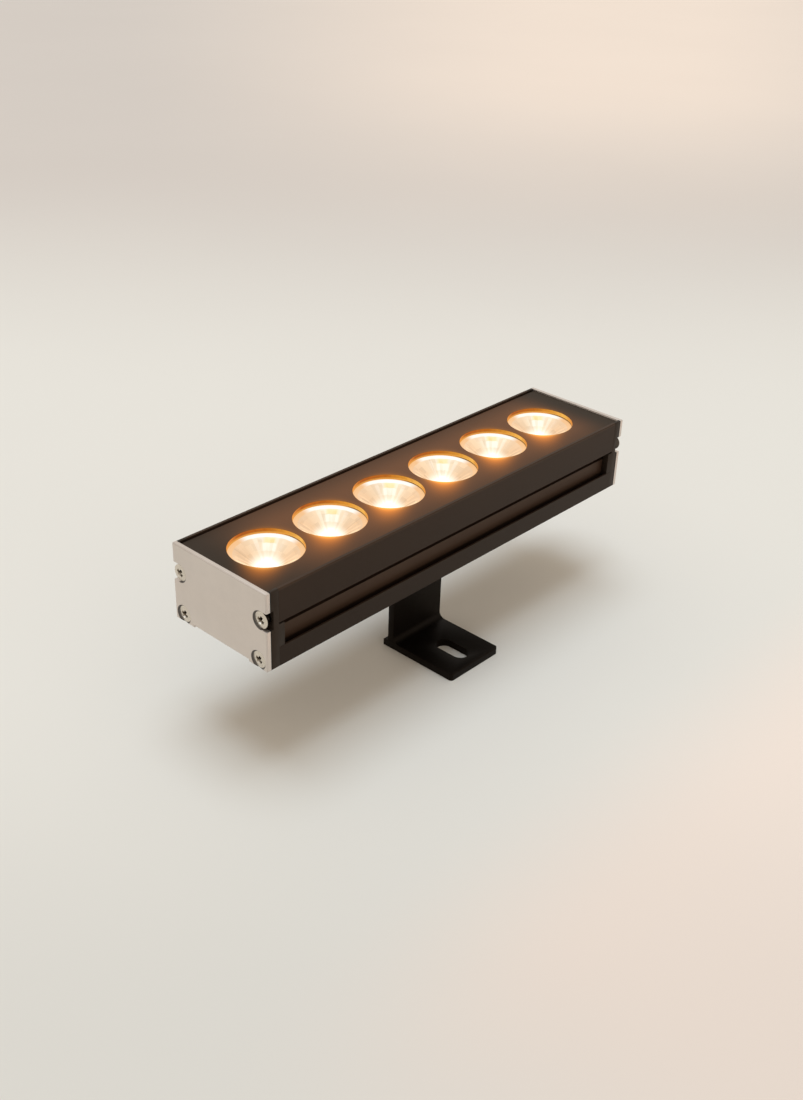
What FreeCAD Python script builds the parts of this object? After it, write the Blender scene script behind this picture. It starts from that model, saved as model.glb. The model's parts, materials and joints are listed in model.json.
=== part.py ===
import FreeCAD, Part
import math
import os

import Sketcher

# Outdoor wall washer light: an extruded head with a row of lensed emitters, closed at both ends
# by a cap, a gasket and a bright plate, carried by a slotted foot whose tee head slides in the
# underside of the extrusion.
#
# Frame: X along the light, Y from the front (the foot's side) to the rear, Z up. The origin is
# on the underside of the foot, straight below the middle of the leg. Millimetres.
#
# The head's pieces are drawn in the head's own frame, whose Z starts at the underside of the
# extrusion. Pieces at an end are drawn in that end's frame, whose X starts at the sawn face of
# the extrusion and points outwards.

Vector = FreeCAD.Vector
OVERCUT = 1.0  # how far a cutting shape runs past the face that it opens

# Driving dimensions: name, value and what it sizes.
DIMENSIONS = (
    # extrusion
    ("housing_width", 60.0, "width of the extrusion"),
    ("housing_height", 38.0, "height of the extrusion, rails and rims included"),
    ("underside_height", 53.0, "underside of the extrusion above the foot's underside"),
    ("edge_break", 0.4, "chamfer along the long outer edges"),
    ("band_height", 9.6, "height of the lower band on each long side"),
    ("channel_height", 12.3, "height of the channel between the two bands"),
    ("channel_depth", 3.5, "depth of the side channel"),
    ("lip_thickness", 1.0, "lip in front of the undercut at the channel's foot"),
    ("undercut_depth", 3.0, "depth of the undercut behind the lip"),
    ("shadow_groove_height", 4.6, "groove along the top of the side channel"),
    ("shadow_groove_depth", 1.8, "depth of that groove below the channel's face"),
    ("rail_width", 12.0, "width of each rail underneath"),
    ("rail_height", 1.0, "how far the rails stand below the middle"),
    ("rim_thickness", 1.7, "rim beside the cover plate"),
    ("rim_height", 0.8, "how far the rims stand above the cover plate"),
    ("groove_depth", 0.8, "groove under each rim, which holds the cover's tongue"),
    ("upper_wall", 3.4, "side wall beside the lenses"),
    ("port_skin", 0.55, "metal between the side channel and the screw port above it"),
    ("port_wall", 1.6, "metal round the other sides of a screw port"),
    ("web_thickness", 2.5, "web that carries the LED board"),
    ("slot_lip", 2.0, "lips that hold the tee head"),
    ("slot_wall", 2.0, "walls and roof of the tee slot"),
    ("floor_thickness", 2.5, "floor of the driver chamber beside the tee slot"),
    ("card_standoff", 1.2, "driver board above the roof of the tee slot"),
    ("card_groove_depth", 1.5, "card grooves in the side walls"),
    # cover
    ("cover_thickness", 2.0, "cover plate"),
    ("tongue_thickness", 1.0, "tongue along each side of the cover plate"),
    ("cover_edge_gap", 0.9, "open gap between the cover plate and each rim"),
    ("cover_end_gap", 0.1, "gap between the cover and each end plate"),
    ("cover_gasket_thickness", 0.6, "soft sheet under the cover plate"),
    ("opening_break", 0.3, "chamfer round each opening of the cover plate"),
    # lenses
    ("lens_count", 6.0, "number of lenses"),
    ("lens_flange_diameter", 36.0, "flange of a lens"),
    ("lens_spacing", 2.1, "gap between two flanges"),
    ("lens_overlap", 1.1, "how far the cover plate covers a flange"),
    ("near_end_gap", 2.1, "first flange to the near sawn face"),
    ("far_end_gap", 7.4, "last flange to the far sawn face"),
    ("lens_flange_thickness", 1.6, "flange of a lens"),
    ("lens_shoulder", 1.4, "step from the flange to the cone"),
    ("lens_foot_diameter", 13.0, "ring that stands on the LED board"),
    ("lens_foot_height", 2.0, "height of that ring"),
    ("lens_knee_diameter", 24.5, "knee in the cone's flank"),
    ("lens_knee_height", 6.9, "height of that knee"),
    ("lens_pocket_diameter", 6.4, "pocket over the emitter"),
    ("lens_pocket_depth", 3.2, "depth of that pocket"),
    ("lens_well_diameter", 31.2, "mouth of the conical well in the face of a lens"),
    ("lens_well_floor", 9.2, "flat floor of that well"),
    ("lens_well_depth", 7.0, "depth of that well"),
    # boards
    ("board_thickness", 1.6, "LED board and driver board"),
    ("led_board_width", 40.0, "LED board"),
    ("board_end_gap", 1.0, "LED board to the plug of each cap"),
    ("pad_thickness", 0.4, "thermal pad"),
    ("pad_margin", 1.0, "LED board beyond the edge of the thermal pad"),
    ("emitter_side", 3.5, "square base of an emitter"),
    ("emitter_height", 0.8, "base of an emitter"),
    ("emitter_dome_radius", 1.4, "foot of an emitter's dome"),
    ("emitter_dome_top", 0.7, "radius of the top of that dome"),
    ("emitter_dome_height", 1.2, "height of that dome"),
    ("board_screw_radius", 1.5, "shank of a board screw"),
    ("board_screw_head", 2.75, "radius of a board screw's head"),
    ("board_screw_head_height", 1.9, "head of a board screw"),
    ("board_screw_grip", 2.1, "how far a board screw goes into the web"),
    ("driver_board_length", 172.0, "driver board"),
    ("driver_board_end_gap", 3.0, "driver board to the plug of the far cap"),
    ("component_height", 3.5, "tallest component on the driver board"),
    ("component_clearance", 0.4, "that component to the web"),
    ("choke_diameter", 12.0, "flanges of the choke"),
    ("choke_winding_diameter", 9.6, "winding of the choke"),
    ("choke_flange", 0.8, "flange of the choke"),
    ("choke_setback", 62.0, "choke to the far end of the driver board"),
    ("capacitor_diameter", 6.3, "capacitors"),
    ("capacitor_base", 0.9, "square base of a capacitor"),
    ("capacitor_spacing", 9.0, "one capacitor to the next"),
    ("capacitor_setback", 26.0, "capacitors to the far end of the driver board"),
    ("chip_length", 6.2, "driver chip"),
    ("chip_width", 5.0, "driver chip"),
    ("chip_height", 1.5, "driver chip"),
    ("chip_setback", 82.0, "chip to the far end of the driver board"),
    ("terminal_length", 9.0, "terminal block"),
    ("terminal_width", 11.0, "terminal block"),
    ("terminal_setback", 1.5, "terminal block to the far end of the driver board"),
    ("terminal_pitch", 5.0, "one wire entry to the next"),
    ("terminal_entry", 1.1, "radius of a wire entry"),
    ("link_pitch", 2.54, "one pin to the next in the board link"),
    ("link_height", 2.5, "body of the board link"),
    ("link_pin", 0.64, "square pin of the board link"),
    ("link_pin_stand", 1.2, "pins above the LED board"),
    ("link_offset", 12.0, "board link to the middle of the boards"),
    # ends
    ("cap_thickness", 4.3, "end cap"),
    ("end_gasket_thickness", 0.5, "gasket between cap and end plate"),
    ("plate_thickness", 2.2, "end plate"),
    ("plate_bevel", 0.35, "bevel round the outer face of an end plate"),
    ("plug_length", 3.0, "plugs of a cap inside the extrusion"),
    ("plug_gap", 0.1, "gap round the plugs of an undercut and a side channel"),
    ("channel_plug_gap", 0.9, "open gap over the plug of a side channel"),
    ("notch_depth", 1.3, "how far the open notch goes into a cap"),
    ("upper_screw_inset", 3.9, "upper end screws to the side of the housing"),
    ("lower_screw_inset", 5.6, "lower end screws to the side of the housing"),
    ("lower_screw_height", 3.9, "lower end screws above the underside"),
    ("screw_head_radius", 3.9, "head of an end screw"),
    ("screw_sink", 0.6, "rim of that head below the plate's face"),
    ("screw_dome", 0.9, "raised dome of that head"),
    ("screw_crown", 2.4, "radius of the flat top of that dome"),
    ("screw_radius", 2.0, "neck of an end screw"),
    ("screw_core", 1.7, "threaded part of an end screw"),
    ("screw_length", 16.0, "end screw below the rim of its head"),
    ("screw_hole_gap", 0.4, "gap round the neck in cap and gasket"),
    ("cross_length", 4.2, "arms of the cross recess"),
    ("cross_width", 0.95, "arms of the cross recess"),
    ("cross_depth", 1.7, "cross recess below the top of the dome"),
    ("thread_gap", 0.05, "gap round every thread and under every seated head"),
    # cable entry
    ("gland_radius", 6.0, "thread of the cable gland"),
    ("gland_across_flats", 15.0, "hexagons of the gland"),
    ("gland_washer_thickness", 1.0, "washer under the gland"),
    ("gland_hex_length", 4.5, "hexagon of the gland body"),
    ("gland_neck_radius", 5.4, "neck inside the gland nut"),
    ("gland_neck_length", 6.0, "neck inside the gland nut"),
    ("gland_bore_radius", 4.0, "bore of the gland body"),
    ("gland_nut_hex", 6.0, "hexagon of the gland nut"),
    ("gland_nut_face", 3.2, "domed front of the gland nut"),
    ("gland_nut_front_radius", 5.0, "front of that dome"),
    ("gland_nut_bore", 3.6, "opening of the gland nut"),
    ("seal_bore_radius", 3.1, "bore of the gland's seal"),
    ("seal_length", 8.0, "gland's seal"),
    # bracket
    ("bracket_width", 35.0, "leg, foot and tee head along the light"),
    ("leg_thickness", 3.5, "leg"),
    ("foot_thickness", 3.8, "foot"),
    ("foot_reach", 39.1, "foot in front of the leg"),
    ("heel_reach", 2.9, "heel behind the leg"),
    ("bend_radius", 3.5, "fillet between leg and foot"),
    ("heel_fillet", 1.2, "fillet between leg and heel"),
    ("foot_corner_radius", 1.6, "corners of the foot, seen from above"),
    ("foot_edge_break", 0.5, "chamfer along the top of the tip and of the heel"),
    ("foot_slot_width", 9.0, "slot in the foot"),
    ("foot_slot_length", 19.0, "slot in the foot, end to end"),
    ("foot_slot_setback", 14.9, "middle of the slot to the tip of the foot"),
    ("tee_thickness", 3.2, "tee head"),
    ("tee_bearing", 2.75, "tee head beyond each side of the slot's mouth"),
    ("clamp_screw_radius", 2.0, "grub screws"),
    ("clamp_screw_length", 5.0, "grub screws"),
    ("clamp_screw_spacing", 22.0, "one pair of grub screws to the other"),
    ("clamp_leg_gap", 0.2, "grub screw to the face of the leg"),
    ("clamp_tip_gap", 0.1, "tip of a grub screw to the roof of the slot"),
    ("clamp_socket", 2.0, "hexagon socket, across flats"),
    ("clamp_socket_depth", 2.2, "hexagon socket"),
    # fits
    ("play", 0.3, "clearance between pieces that slide or drop into each other"),
)


class Size:
    """A length, angle or count that knows its number and the formula behind it."""

    def __init__(self, number, formula):
        self.number = float(number)
        self.formula = formula

    def _joined(self, other, sign, number):
        return Size(number, f"({self.formula} {sign} {as_size(other).formula})")

    def __add__(self, other):
        return self._joined(other, "+", self.number + as_size(other).number)

    def __radd__(self, other):
        return as_size(other) + self

    def __sub__(self, other):
        return self._joined(other, "-", self.number - as_size(other).number)

    def __rsub__(self, other):
        return as_size(other) - self

    def __mul__(self, other):
        return self._joined(other, "*", self.number * as_size(other).number)

    def __rmul__(self, other):
        return as_size(other) * self

    def __truediv__(self, other):
        return self._joined(other, "/", self.number / as_size(other).number)

    def __neg__(self):
        return Size(-self.number, f"(0 - {self.formula})")


def as_size(value):
    """Return value as a Size, so that plain numbers can stand in a sum."""
    return value if isinstance(value, Size) else Size(value, str(value))


def bind(thing, path, size):
    """Tie one property of a document object to the sheet."""
    size = as_size(size)
    thing.setExpression(path, size.formula)


def make_sheet(document):
    """Write the driving dimensions into a spreadsheet and return it with its sizes by name."""
    sheet = document.addObject("Spreadsheet::Sheet", "Sizes")
    sizes = {}
    for row, (name, value, meaning) in enumerate(DIMENSIONS, start=1):
        sheet.set(f"A{row}", name)
        sheet.set(f"B{row}", str(value))
        sheet.set(f"C{row}", meaning)
        sheet.setAlias(f"B{row}", name)
        sizes[name] = Size(value, f"<<Sizes>>.{name}")
    document.recompute()
    return sheet, sizes


doc = FreeCAD.newDocument("wall_washer")
sheet, size = make_sheet(doc)


def get(name):
    """Return one driving dimension."""
    return size[name]


# Levels in the head's frame, from the underside up.
play = get("play")
half_width = get("housing_width") / 2
height = get("housing_height")
rail = get("rail_height")
slot_low = rail + get("slot_lip")
slot_high = slot_low + play + get("tee_thickness") + play
driver_floor = slot_high + get("slot_wall")
pocket_floor = rail + get("floor_thickness")
card_low = driver_floor + get("card_standoff")
driver_top = card_low + get("board_thickness")
card_high = driver_top + play
web_low = driver_top + get("component_height") + get("component_clearance")
web_high = web_low + get("web_thickness")
led_board_low = web_high + get("pad_thickness")
led_board_high = led_board_low + get("board_thickness")
channel_high = get("band_height") + get("channel_height")
shadow_low = channel_high - get("shadow_groove_height")
cover_high = height - get("rim_height")
cover_low = cover_high - get("cover_thickness")
tongue_high = cover_low + get("tongue_thickness")
groove_high = tongue_high + play
ledge = cover_low - get("cover_gasket_thickness")

# Half widths in the head's frame.
rim_inner = half_width - get("rim_thickness")
groove_half = rim_inner + get("groove_depth")
tongue_half = groove_half - play
cover_half = rim_inner - get("cover_edge_gap")
upper_half = half_width - get("upper_wall")
channel_face = half_width - get("channel_depth")
shadow_face = channel_face - get("shadow_groove_depth")
lip_face = half_width - get("lip_thickness")
rail_inner = half_width - get("rail_width")
half_leg = get("leg_thickness") / 2
clamp_y = half_leg + get("clamp_leg_gap") + get("clamp_screw_radius")
mouth_half = clamp_y + get("clamp_screw_radius") + play
tee_half = mouth_half + get("tee_bearing")
slot_half = tee_half + play
pocket_inner = slot_half + get("slot_wall")

# End screws and their ports.
port_radius = get("screw_core") + get("thread_gap")
upper_screw_y = half_width - get("upper_screw_inset")
upper_screw_z = channel_high + get("port_skin") + port_radius
lower_screw_y = half_width - get("lower_screw_inset")
lower_screw_z = get("lower_screw_height")
END_SCREWS = ((upper_screw_y, upper_screw_z), (lower_screw_y, lower_screw_z))
port_block_high = upper_screw_z + port_radius + get("port_wall")
chamber_half = upper_screw_y - port_radius - get("port_wall")
pocket_outer = lower_screw_y - port_radius - get("port_wall")
card_half = chamber_half + get("card_groove_depth")
sink_radius = get("screw_head_radius") + get("screw_sink")
screw_hole_radius = get("screw_radius") + get("screw_hole_gap")

# Places along the light.
lens_pitch = get("lens_flange_diameter") + get("lens_spacing")
lens_rows = lens_pitch * (get("lens_count") - 1)
near_room = get("lens_flange_diameter") / 2 + get("near_end_gap")
far_room = get("lens_flange_diameter") / 2 + get("far_end_gap")
housing_length = near_room + lens_rows + far_room
half_length = housing_length / 2
first_lens_x = near_room - half_length
link_x = first_lens_x + lens_rows - lens_pitch / 2
lens_radius = get("lens_flange_diameter") / 2
opening_radius = lens_radius - get("lens_overlap")
lens_height = ledge - led_board_high
plate_outer = get("cap_thickness") + get("end_gasket_thickness") + get("plate_thickness")
cover_length = housing_length + 2 * (
    get("cap_thickness") + get("end_gasket_thickness") - get("cover_end_gap"))
led_board_length = housing_length - 2 * (get("plug_length") + get("board_end_gap"))
driver_far_x = half_length - get("plug_length") - get("driver_board_end_gap")
gland_z = (driver_floor + web_low) / 2
gland_hole_radius = get("gland_radius") + get("thread_gap")
head_z = get("underside_height")

END_FRAMES = {"near": (-half_length, 180.0), "far": (half_length, 0.0)}
LENSES = range(int(get("lens_count").number))


def set_place(thing, x=0.0, y=0.0, z=0.0, turn=0.0):
    """Put an object at x, y, z, turned about Z, with its place tied to the sheet."""
    thing.Placement = FreeCAD.Placement(Vector(0, 0, 0), FreeCAD.Rotation(Vector(0, 0, 1), turn))
    for axis, value in (("x", x), ("y", y), ("z", z)):
        bind(thing, f"Placement.Base.{axis}", value)


def outline(sketch, corners, arcs=None):
    """Draw a closed outline whose corners are pinned to sizes.

    arcs gives the radius and the side (1 left, -1 right of the way round) of each stretch that
    is an arc, by the number of the corner that it starts from.
    """
    arcs = arcs or {}
    points = [Vector(as_size(u).number, as_size(v).number, 0) for u, v in corners]
    pieces = []
    for index, start in enumerate(points):
        end = points[(index + 1) % len(points)]
        if index in arcs:
            radius, side = arcs[index]
            chord = end - start
            rise = radius.number - math.sqrt(radius.number ** 2 - (chord.Length / 2) ** 2)
            across = Vector(-chord.y, chord.x, 0).normalize() * rise * side
            number = sketch.addGeometry(Part.Arc(start, (start + end) * 0.5 + across, end))
        else:
            number = sketch.addGeometry(Part.LineSegment(start, end))
        swapped = sketch.getPoint(number, 1).distanceToPoint(start) > 1e-6
        pieces.append((number, 2 if swapped else 1, 1 if swapped else 2))
    for index, (number, start_end, _) in enumerate(pieces):
        before, _, last_end = pieces[index - 1]
        sketch.addConstraint(
            Sketcher.Constraint("Coincident", before, last_end, number, start_end))
        pin(sketch, number, start_end, *corners[index])
        if index in arcs:
            radius = arcs[index][0]
            row = sketch.addConstraint(Sketcher.Constraint("Radius", number, radius.number))
            bind(sketch, f"Constraints[{row}]", radius)


def pin(sketch, number, end, u, v):
    """Tie one point of a sketch to its two coordinates."""
    for direction, value in (("DistanceX", as_size(u)), ("DistanceY", as_size(v))):
        row = sketch.addConstraint(Sketcher.Constraint(direction, number, end, value.number))
        bind(sketch, f"Constraints[{row}]", value)


def circle(sketch, u, v, radius):
    """Draw a circle pinned at its centre."""
    centre = Vector(as_size(u).number, as_size(v).number, 0)
    number = sketch.addGeometry(Part.Circle(centre, Vector(0, 0, 1), radius.number))
    pin(sketch, number, 3, u, v)
    row = sketch.addConstraint(Sketcher.Constraint("Radius", number, radius.number))
    bind(sketch, f"Constraints[{row}]", radius)


def both_sides(half):
    """Return a half outline, bottom to top on the right, with its mirror image on the left."""
    return list(half) + [(-u, v) for u, v in reversed(half)]


class Piece:
    """A body whose features are drawn in its own frame and tied to the sheet."""

    def __init__(self, label, x=0.0, y=0.0, z=0.0, turn=0.0):
        self.body = doc.addObject("PartDesign::Body", label)
        self.body.Label = label
        set_place(self.body, x, y, z, turn)

    def origin(self, role):
        """Return one of the body's own planes or axes."""
        return next(item for item in self.body.Origin.OriginFeatures if item.Role == role)

    def feature(self, kind, name):
        """Add a feature and make it the body's last."""
        made = self.body.newObject(f"PartDesign::{kind}", name)
        self.body.Tip = made
        return made

    def sketch(self, name, role):
        """Add an empty sketch on one of the body's planes."""
        made = self.body.newObject("Sketcher::SketchObject", name)
        made.AttachmentSupport = [(self.origin(role), "")]
        made.MapMode = "FlatFace"
        return made

    def pad(self, sketch, name, length, symmetric=False):
        """Thicken a sketch along its normal, or both ways."""
        made = self.feature("Pad", name)
        made.Profile = sketch
        made.SideType = "Symmetric" if symmetric else "One side"
        bind(made, "Length", length)
        return made

    def cut_through(self, sketch, name):
        """Cut a sketch right through the body, both ways."""
        made = self.feature("Pocket", name)
        made.Profile = sketch
        made.SideType = "Symmetric"
        made.Type = "ThroughAll"
        return made

    def revolve(self, sketch, name, axis):
        """Turn a sketch a full circle about its own H_Axis or V_Axis."""
        made = self.feature("Revolution", name)
        made.Profile = sketch
        made.ReferenceAxis = (sketch, [axis])
        made.Angle = 360
        return made

    def primitive(self, kind, name, role, at, **sizes):
        """Add or cut a primitive that stands on a plane, at u, v and w along its normal."""
        made = self.feature(kind, name)
        made.AttachmentSupport = [(self.origin(role), "")]
        made.MapMode = "FlatFace"
        for axis, value in zip("xyz", at):
            bind(made, f"AttachmentOffset.Base.{axis}", value)
        for path, value in sizes.items():
            bind(made, path, value)
        return made

    def box(self, name, low, high, cut=False, role="XY_Plane"):
        """Add or cut a box between two corners, given along the plane's u, v and w."""
        kind = "SubtractiveBox" if cut else "AdditiveBox"
        spans = [as_size(b) - a for a, b in zip(low, high)]
        return self.primitive(
            kind, name, role, low, Length=spans[0], Width=spans[1], Height=spans[2])

    def drill(self, name, role, at, radius, depth):
        """Cut a round hole from a point along the plane's normal."""
        return self.primitive("SubtractiveCylinder", name, role, at, Radius=radius, Height=depth)

    def repeat(self, feature, name, step, count):
        """Repeat a feature along X."""
        made = self.feature("LinearPattern", name)
        made.Originals = [feature]
        made.Direction = (self.origin("X_Axis"), [""])
        made.Mode = "Spacing"
        bind(made, "Offset", step)
        bind(made, "Occurrences", count)
        self.body.Tip = made
        return made

    def dress(self, kind, name, amount, chosen):
        """Round or chamfer the edges that chosen picks from the body as it stands."""
        doc.recompute()
        base = self.body.Tip
        names = [f"Edge{number}" for number, edge in enumerate(base.Shape.Edges, start=1)
                 if chosen(edge)]
        made = self.feature(kind, name)
        made.Base = (base, names)
        bind(made, "Radius" if kind == "Fillet" else "Size", amount)
        return made


def near(value, target):
    """Tell whether a measured length is the wanted one."""
    return abs(value - as_size(target).number) < 1e-4


def along_x(y, z):
    """Return a test for edges that run along X at y and z."""
    def chosen(edge):
        return all(near(v.Y, y) and near(v.Z, z) for v in edge.Vertexes)
    return chosen


def group(label, members, x=0.0, y=0.0, z=0.0, turn=0.0):
    """Join separate solids, such as a set of screws, into one sub-part."""
    made = doc.addObject("Part::Compound", label)
    made.Label = label
    made.Links = [member.body for member in members]
    set_place(made, x, y, z, turn)
    return made


# ---------------------------------------------------------------------------- bracket

CLAMP_CORNERS = ((-1, -1), (1, -1), (-1, 1), (1, 1))
SLOT_ARC = 1.0000001  # keeps the half circle of a slot's end just inside what an arc can span


def make_foot_bracket():
    """Leg, slotted foot, heel and tee head: one extruded profile cut to length."""
    piece = Piece("foot_bracket")
    tip = half_leg + get("foot_reach")
    heel = half_leg + get("heel_reach")
    top = get("foot_thickness")
    tee_low = head_z + slot_low + play
    tee_high = tee_low + get("tee_thickness")
    profile = piece.sketch("BracketProfile", "YZ_Plane")
    outline(profile, (
        (-tip, 0), (heel, 0), (heel, top), (half_leg, top), (half_leg, tee_low),
        (tee_half, tee_low), (tee_half, tee_high), (-tee_half, tee_high), (-tee_half, tee_low),
        (-half_leg, tee_low), (-half_leg, top), (-tip, top)))
    piece.pad(profile, "BracketPad", get("bracket_width"), symmetric=True)

    piece.dress("Fillet", "Bend", get("bend_radius"), along_x(-half_leg, top))
    piece.dress("Fillet", "HeelBend", get("heel_fillet"), along_x(half_leg, top))
    piece.dress("Chamfer", "TipBreak", get("foot_edge_break"), along_x(-tip, top))
    piece.dress("Chamfer", "HeelBreak", get("foot_edge_break"), along_x(heel, top))

    def foot_corner(edge):
        low, high = edge.BoundBox.ZMin, edge.BoundBox.ZMax
        at_tip = near(edge.BoundBox.YMin, -tip) and near(edge.BoundBox.YMax, -tip)
        return at_tip and near(low, 0) and high - low > get("foot_edge_break").number
    piece.dress("Fillet", "TipCorners", get("foot_corner_radius"), foot_corner)

    slot = piece.sketch("SlotProfile", "XY_Plane")
    radius = get("foot_slot_width") / 2
    middle = get("foot_slot_setback") - tip
    reach = get("foot_slot_length") / 2 - radius
    outline(slot, (
        (radius, middle - reach), (radius, middle + reach),
        (-radius, middle + reach), (-radius, middle - reach)),
        {1: (radius * SLOT_ARC, -1), 3: (radius * SLOT_ARC, -1)})
    piece.cut_through(slot, "Slot")

    for number, (side_x, side_y) in enumerate(CLAMP_CORNERS, start=1):
        piece.drill(
            f"ClampThread{number}", "XY_Plane",
            (side_x * get("clamp_screw_spacing") / 2, side_y * clamp_y, tee_low),
            get("clamp_screw_radius") + get("thread_gap"), get("tee_thickness") + OVERCUT)
    return piece.body


def make_clamp_screws():
    """Grub screws that jack the tee head down onto the lips of the slot."""
    screws = []
    tip_z = slot_high - get("clamp_tip_gap")
    for number, (side_x, side_y) in enumerate(CLAMP_CORNERS, start=1):
        screw = Piece(
            f"clamp_screw_{number}", side_x * get("clamp_screw_spacing") / 2, side_y * clamp_y,
            tip_z - get("clamp_screw_length"))
        screw.primitive(
            "AdditiveCylinder", "Shank", "XY_Plane", (0, 0, 0),
            Radius=get("clamp_screw_radius"), Height=get("clamp_screw_length"))
        socket = screw.primitive(
            "SubtractivePrism", "Socket", "XY_Plane", (0, 0, 0),
            Circumradius=get("clamp_socket") / math.sqrt(3), Height=get("clamp_socket_depth"))
        socket.Polygon = 6
        screws.append(screw)
    return group("clamp_screws", screws, z=head_z)


# ---------------------------------------------------------------------------- extrusion

def make_housing():
    """The extrusion, drawn as its die: two chambers, tee slot, screw ports and card grooves."""
    piece = Piece("housing", z=head_z)
    edge = get("edge_break")
    band = get("band_height")
    undercut = band - get("undercut_depth")
    profile = piece.sketch("Die", "YZ_Plane")
    outline(profile, both_sides((
        (slot_half, slot_high), (slot_half, slot_low), (mouth_half, slot_low),
        (mouth_half, rail), (rail_inner, rail), (rail_inner, 0),
        (half_width - edge, 0), (half_width, edge), (half_width, band),
        (lip_face, band), (lip_face, undercut), (channel_face, undercut),
        (channel_face, shadow_low), (shadow_face, shadow_low), (shadow_face, channel_high),
        (half_width, channel_high),
        (half_width, height - edge), (half_width - edge, height),
        (rim_inner, height), (rim_inner, groove_high), (groove_half, groove_high),
        (groove_half, ledge), (upper_half, ledge), (upper_half, port_block_high),
        (chamber_half, port_block_high), (chamber_half, web_high))))
    outline(profile, both_sides((
        (pocket_inner, driver_floor), (pocket_inner, pocket_floor),
        (pocket_outer, pocket_floor), (pocket_outer, driver_floor),
        (chamber_half, driver_floor), (chamber_half, card_low), (card_half, card_low),
        (card_half, card_high), (chamber_half, card_high), (chamber_half, web_low))))
    for y, z in END_SCREWS:
        circle(profile, y, z, port_radius)
        circle(profile, -y, z, port_radius)
    piece.pad(profile, "Extrusion", housing_length, symmetric=True)

    tapped = piece.drill(
        "BoardThread", "XY_Plane", (first_lens_x + lens_pitch / 2, 0, web_low - OVERCUT),
        get("board_screw_radius") + get("thread_gap"), get("web_thickness") + 2 * OVERCUT)
    piece.repeat(tapped, "BoardThreads", lens_pitch, get("lens_count") - 1)
    cut_link_window(piece, web_low - OVERCUT, web_high + OVERCUT)
    return piece.body


def cut_link_window(piece, low, high):
    """Open the window that the board link stands in."""
    half_x = get("link_pitch") + play
    half_y = get("link_pitch") / 2 + play
    piece.box(
        "LinkWindow", (link_x - half_x, get("link_offset") - half_y, low),
        (link_x + half_x, get("link_offset") + half_y, high), cut=True)


# ---------------------------------------------------------------------------- cover

def make_cover_plate():
    """Cover plate with a tongue along each side and a round opening over each lens."""
    piece = Piece("cover_plate", z=head_z)
    profile = piece.sketch("CoverProfile", "YZ_Plane")
    outline(profile, both_sides((
        (tongue_half, cover_low), (tongue_half, tongue_high), (cover_half, tongue_high),
        (cover_half, cover_high))))
    piece.pad(profile, "CoverPad", cover_length, symmetric=True)
    opening = piece.drill(
        "Opening", "XY_Plane", (first_lens_x, 0, cover_low - OVERCUT), opening_radius,
        get("cover_thickness") + 2 * OVERCUT)
    piece.repeat(opening, "Openings", lens_pitch, get("lens_count"))

    def opening_rim(edge):
        return near(edge.BoundBox.ZMin, cover_high) and near(
            edge.BoundBox.YLength, 2 * opening_radius)
    piece.dress("Chamfer", "OpeningBreak", get("opening_break"), opening_rim)
    return piece.body


def make_cover_gasket():
    """Soft sheet between the cover plate, the ledges and the flanges of the lenses."""
    piece = Piece("cover_gasket", z=head_z)
    piece.box(
        "Sheet", (-cover_length / 2, -tongue_half, ledge),
        (cover_length / 2, tongue_half, cover_low))
    opening = piece.drill(
        "Opening", "XY_Plane", (first_lens_x, 0, ledge - OVERCUT), opening_radius,
        get("cover_gasket_thickness") + 2 * OVERCUT)
    piece.repeat(opening, "Openings", lens_pitch, get("lens_count"))
    return piece.body


# ---------------------------------------------------------------------------- lenses, LED board

def make_lens(index):
    """Clear cone with a flange, a conical well, and a ring that stands over its emitter."""
    piece = Piece(f"lens_{index + 1}", x=first_lens_x + index * lens_pitch,
                  z=head_z + led_board_high)
    foot = get("lens_foot_diameter") / 2
    pocket = get("lens_pocket_diameter") / 2
    pocket_depth = get("lens_pocket_depth")
    flange_low = lens_height - get("lens_flange_thickness")
    well = get("lens_well_diameter") / 2
    well_floor = lens_height - get("lens_well_depth")
    profile = piece.sketch("LensProfile", "XZ_Plane")
    outline(profile, (
        (pocket, 0), (foot, 0), (foot, get("lens_foot_height")),
        (get("lens_knee_diameter") / 2, get("lens_knee_height")),
        (lens_radius - get("lens_shoulder"), flange_low), (lens_radius, flange_low),
        (lens_radius, lens_height), (well, lens_height),
        (get("lens_well_floor") / 2, well_floor), (0, well_floor),
        (0, pocket_depth), (pocket, pocket_depth)))
    piece.revolve(profile, "Lens", "V_Axis")
    return piece.body


def make_led_board():
    """Metal-core board with holes for its screws and for the pins of the board link."""
    piece = Piece("led_board", z=head_z)
    half = get("led_board_width") / 2
    piece.box(
        "Board", (-led_board_length / 2, -half, led_board_low),
        (led_board_length / 2, half, led_board_high))
    depth = get("board_thickness") + 2 * OVERCUT
    hole = piece.drill(
        "ScrewHole", "XY_Plane", (first_lens_x + lens_pitch / 2, 0, led_board_low - OVERCUT),
        get("board_screw_radius") + play, depth)
    piece.repeat(hole, "ScrewHoles", lens_pitch, get("lens_count") - 1)
    for number, side in enumerate((-1, 1), start=1):
        piece.drill(
            f"PinHole{number}", "XY_Plane",
            (link_x + side * get("link_pitch") / 2, get("link_offset"), led_board_low - OVERCUT),
            get("link_pin"), depth)
    return piece.body


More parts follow.
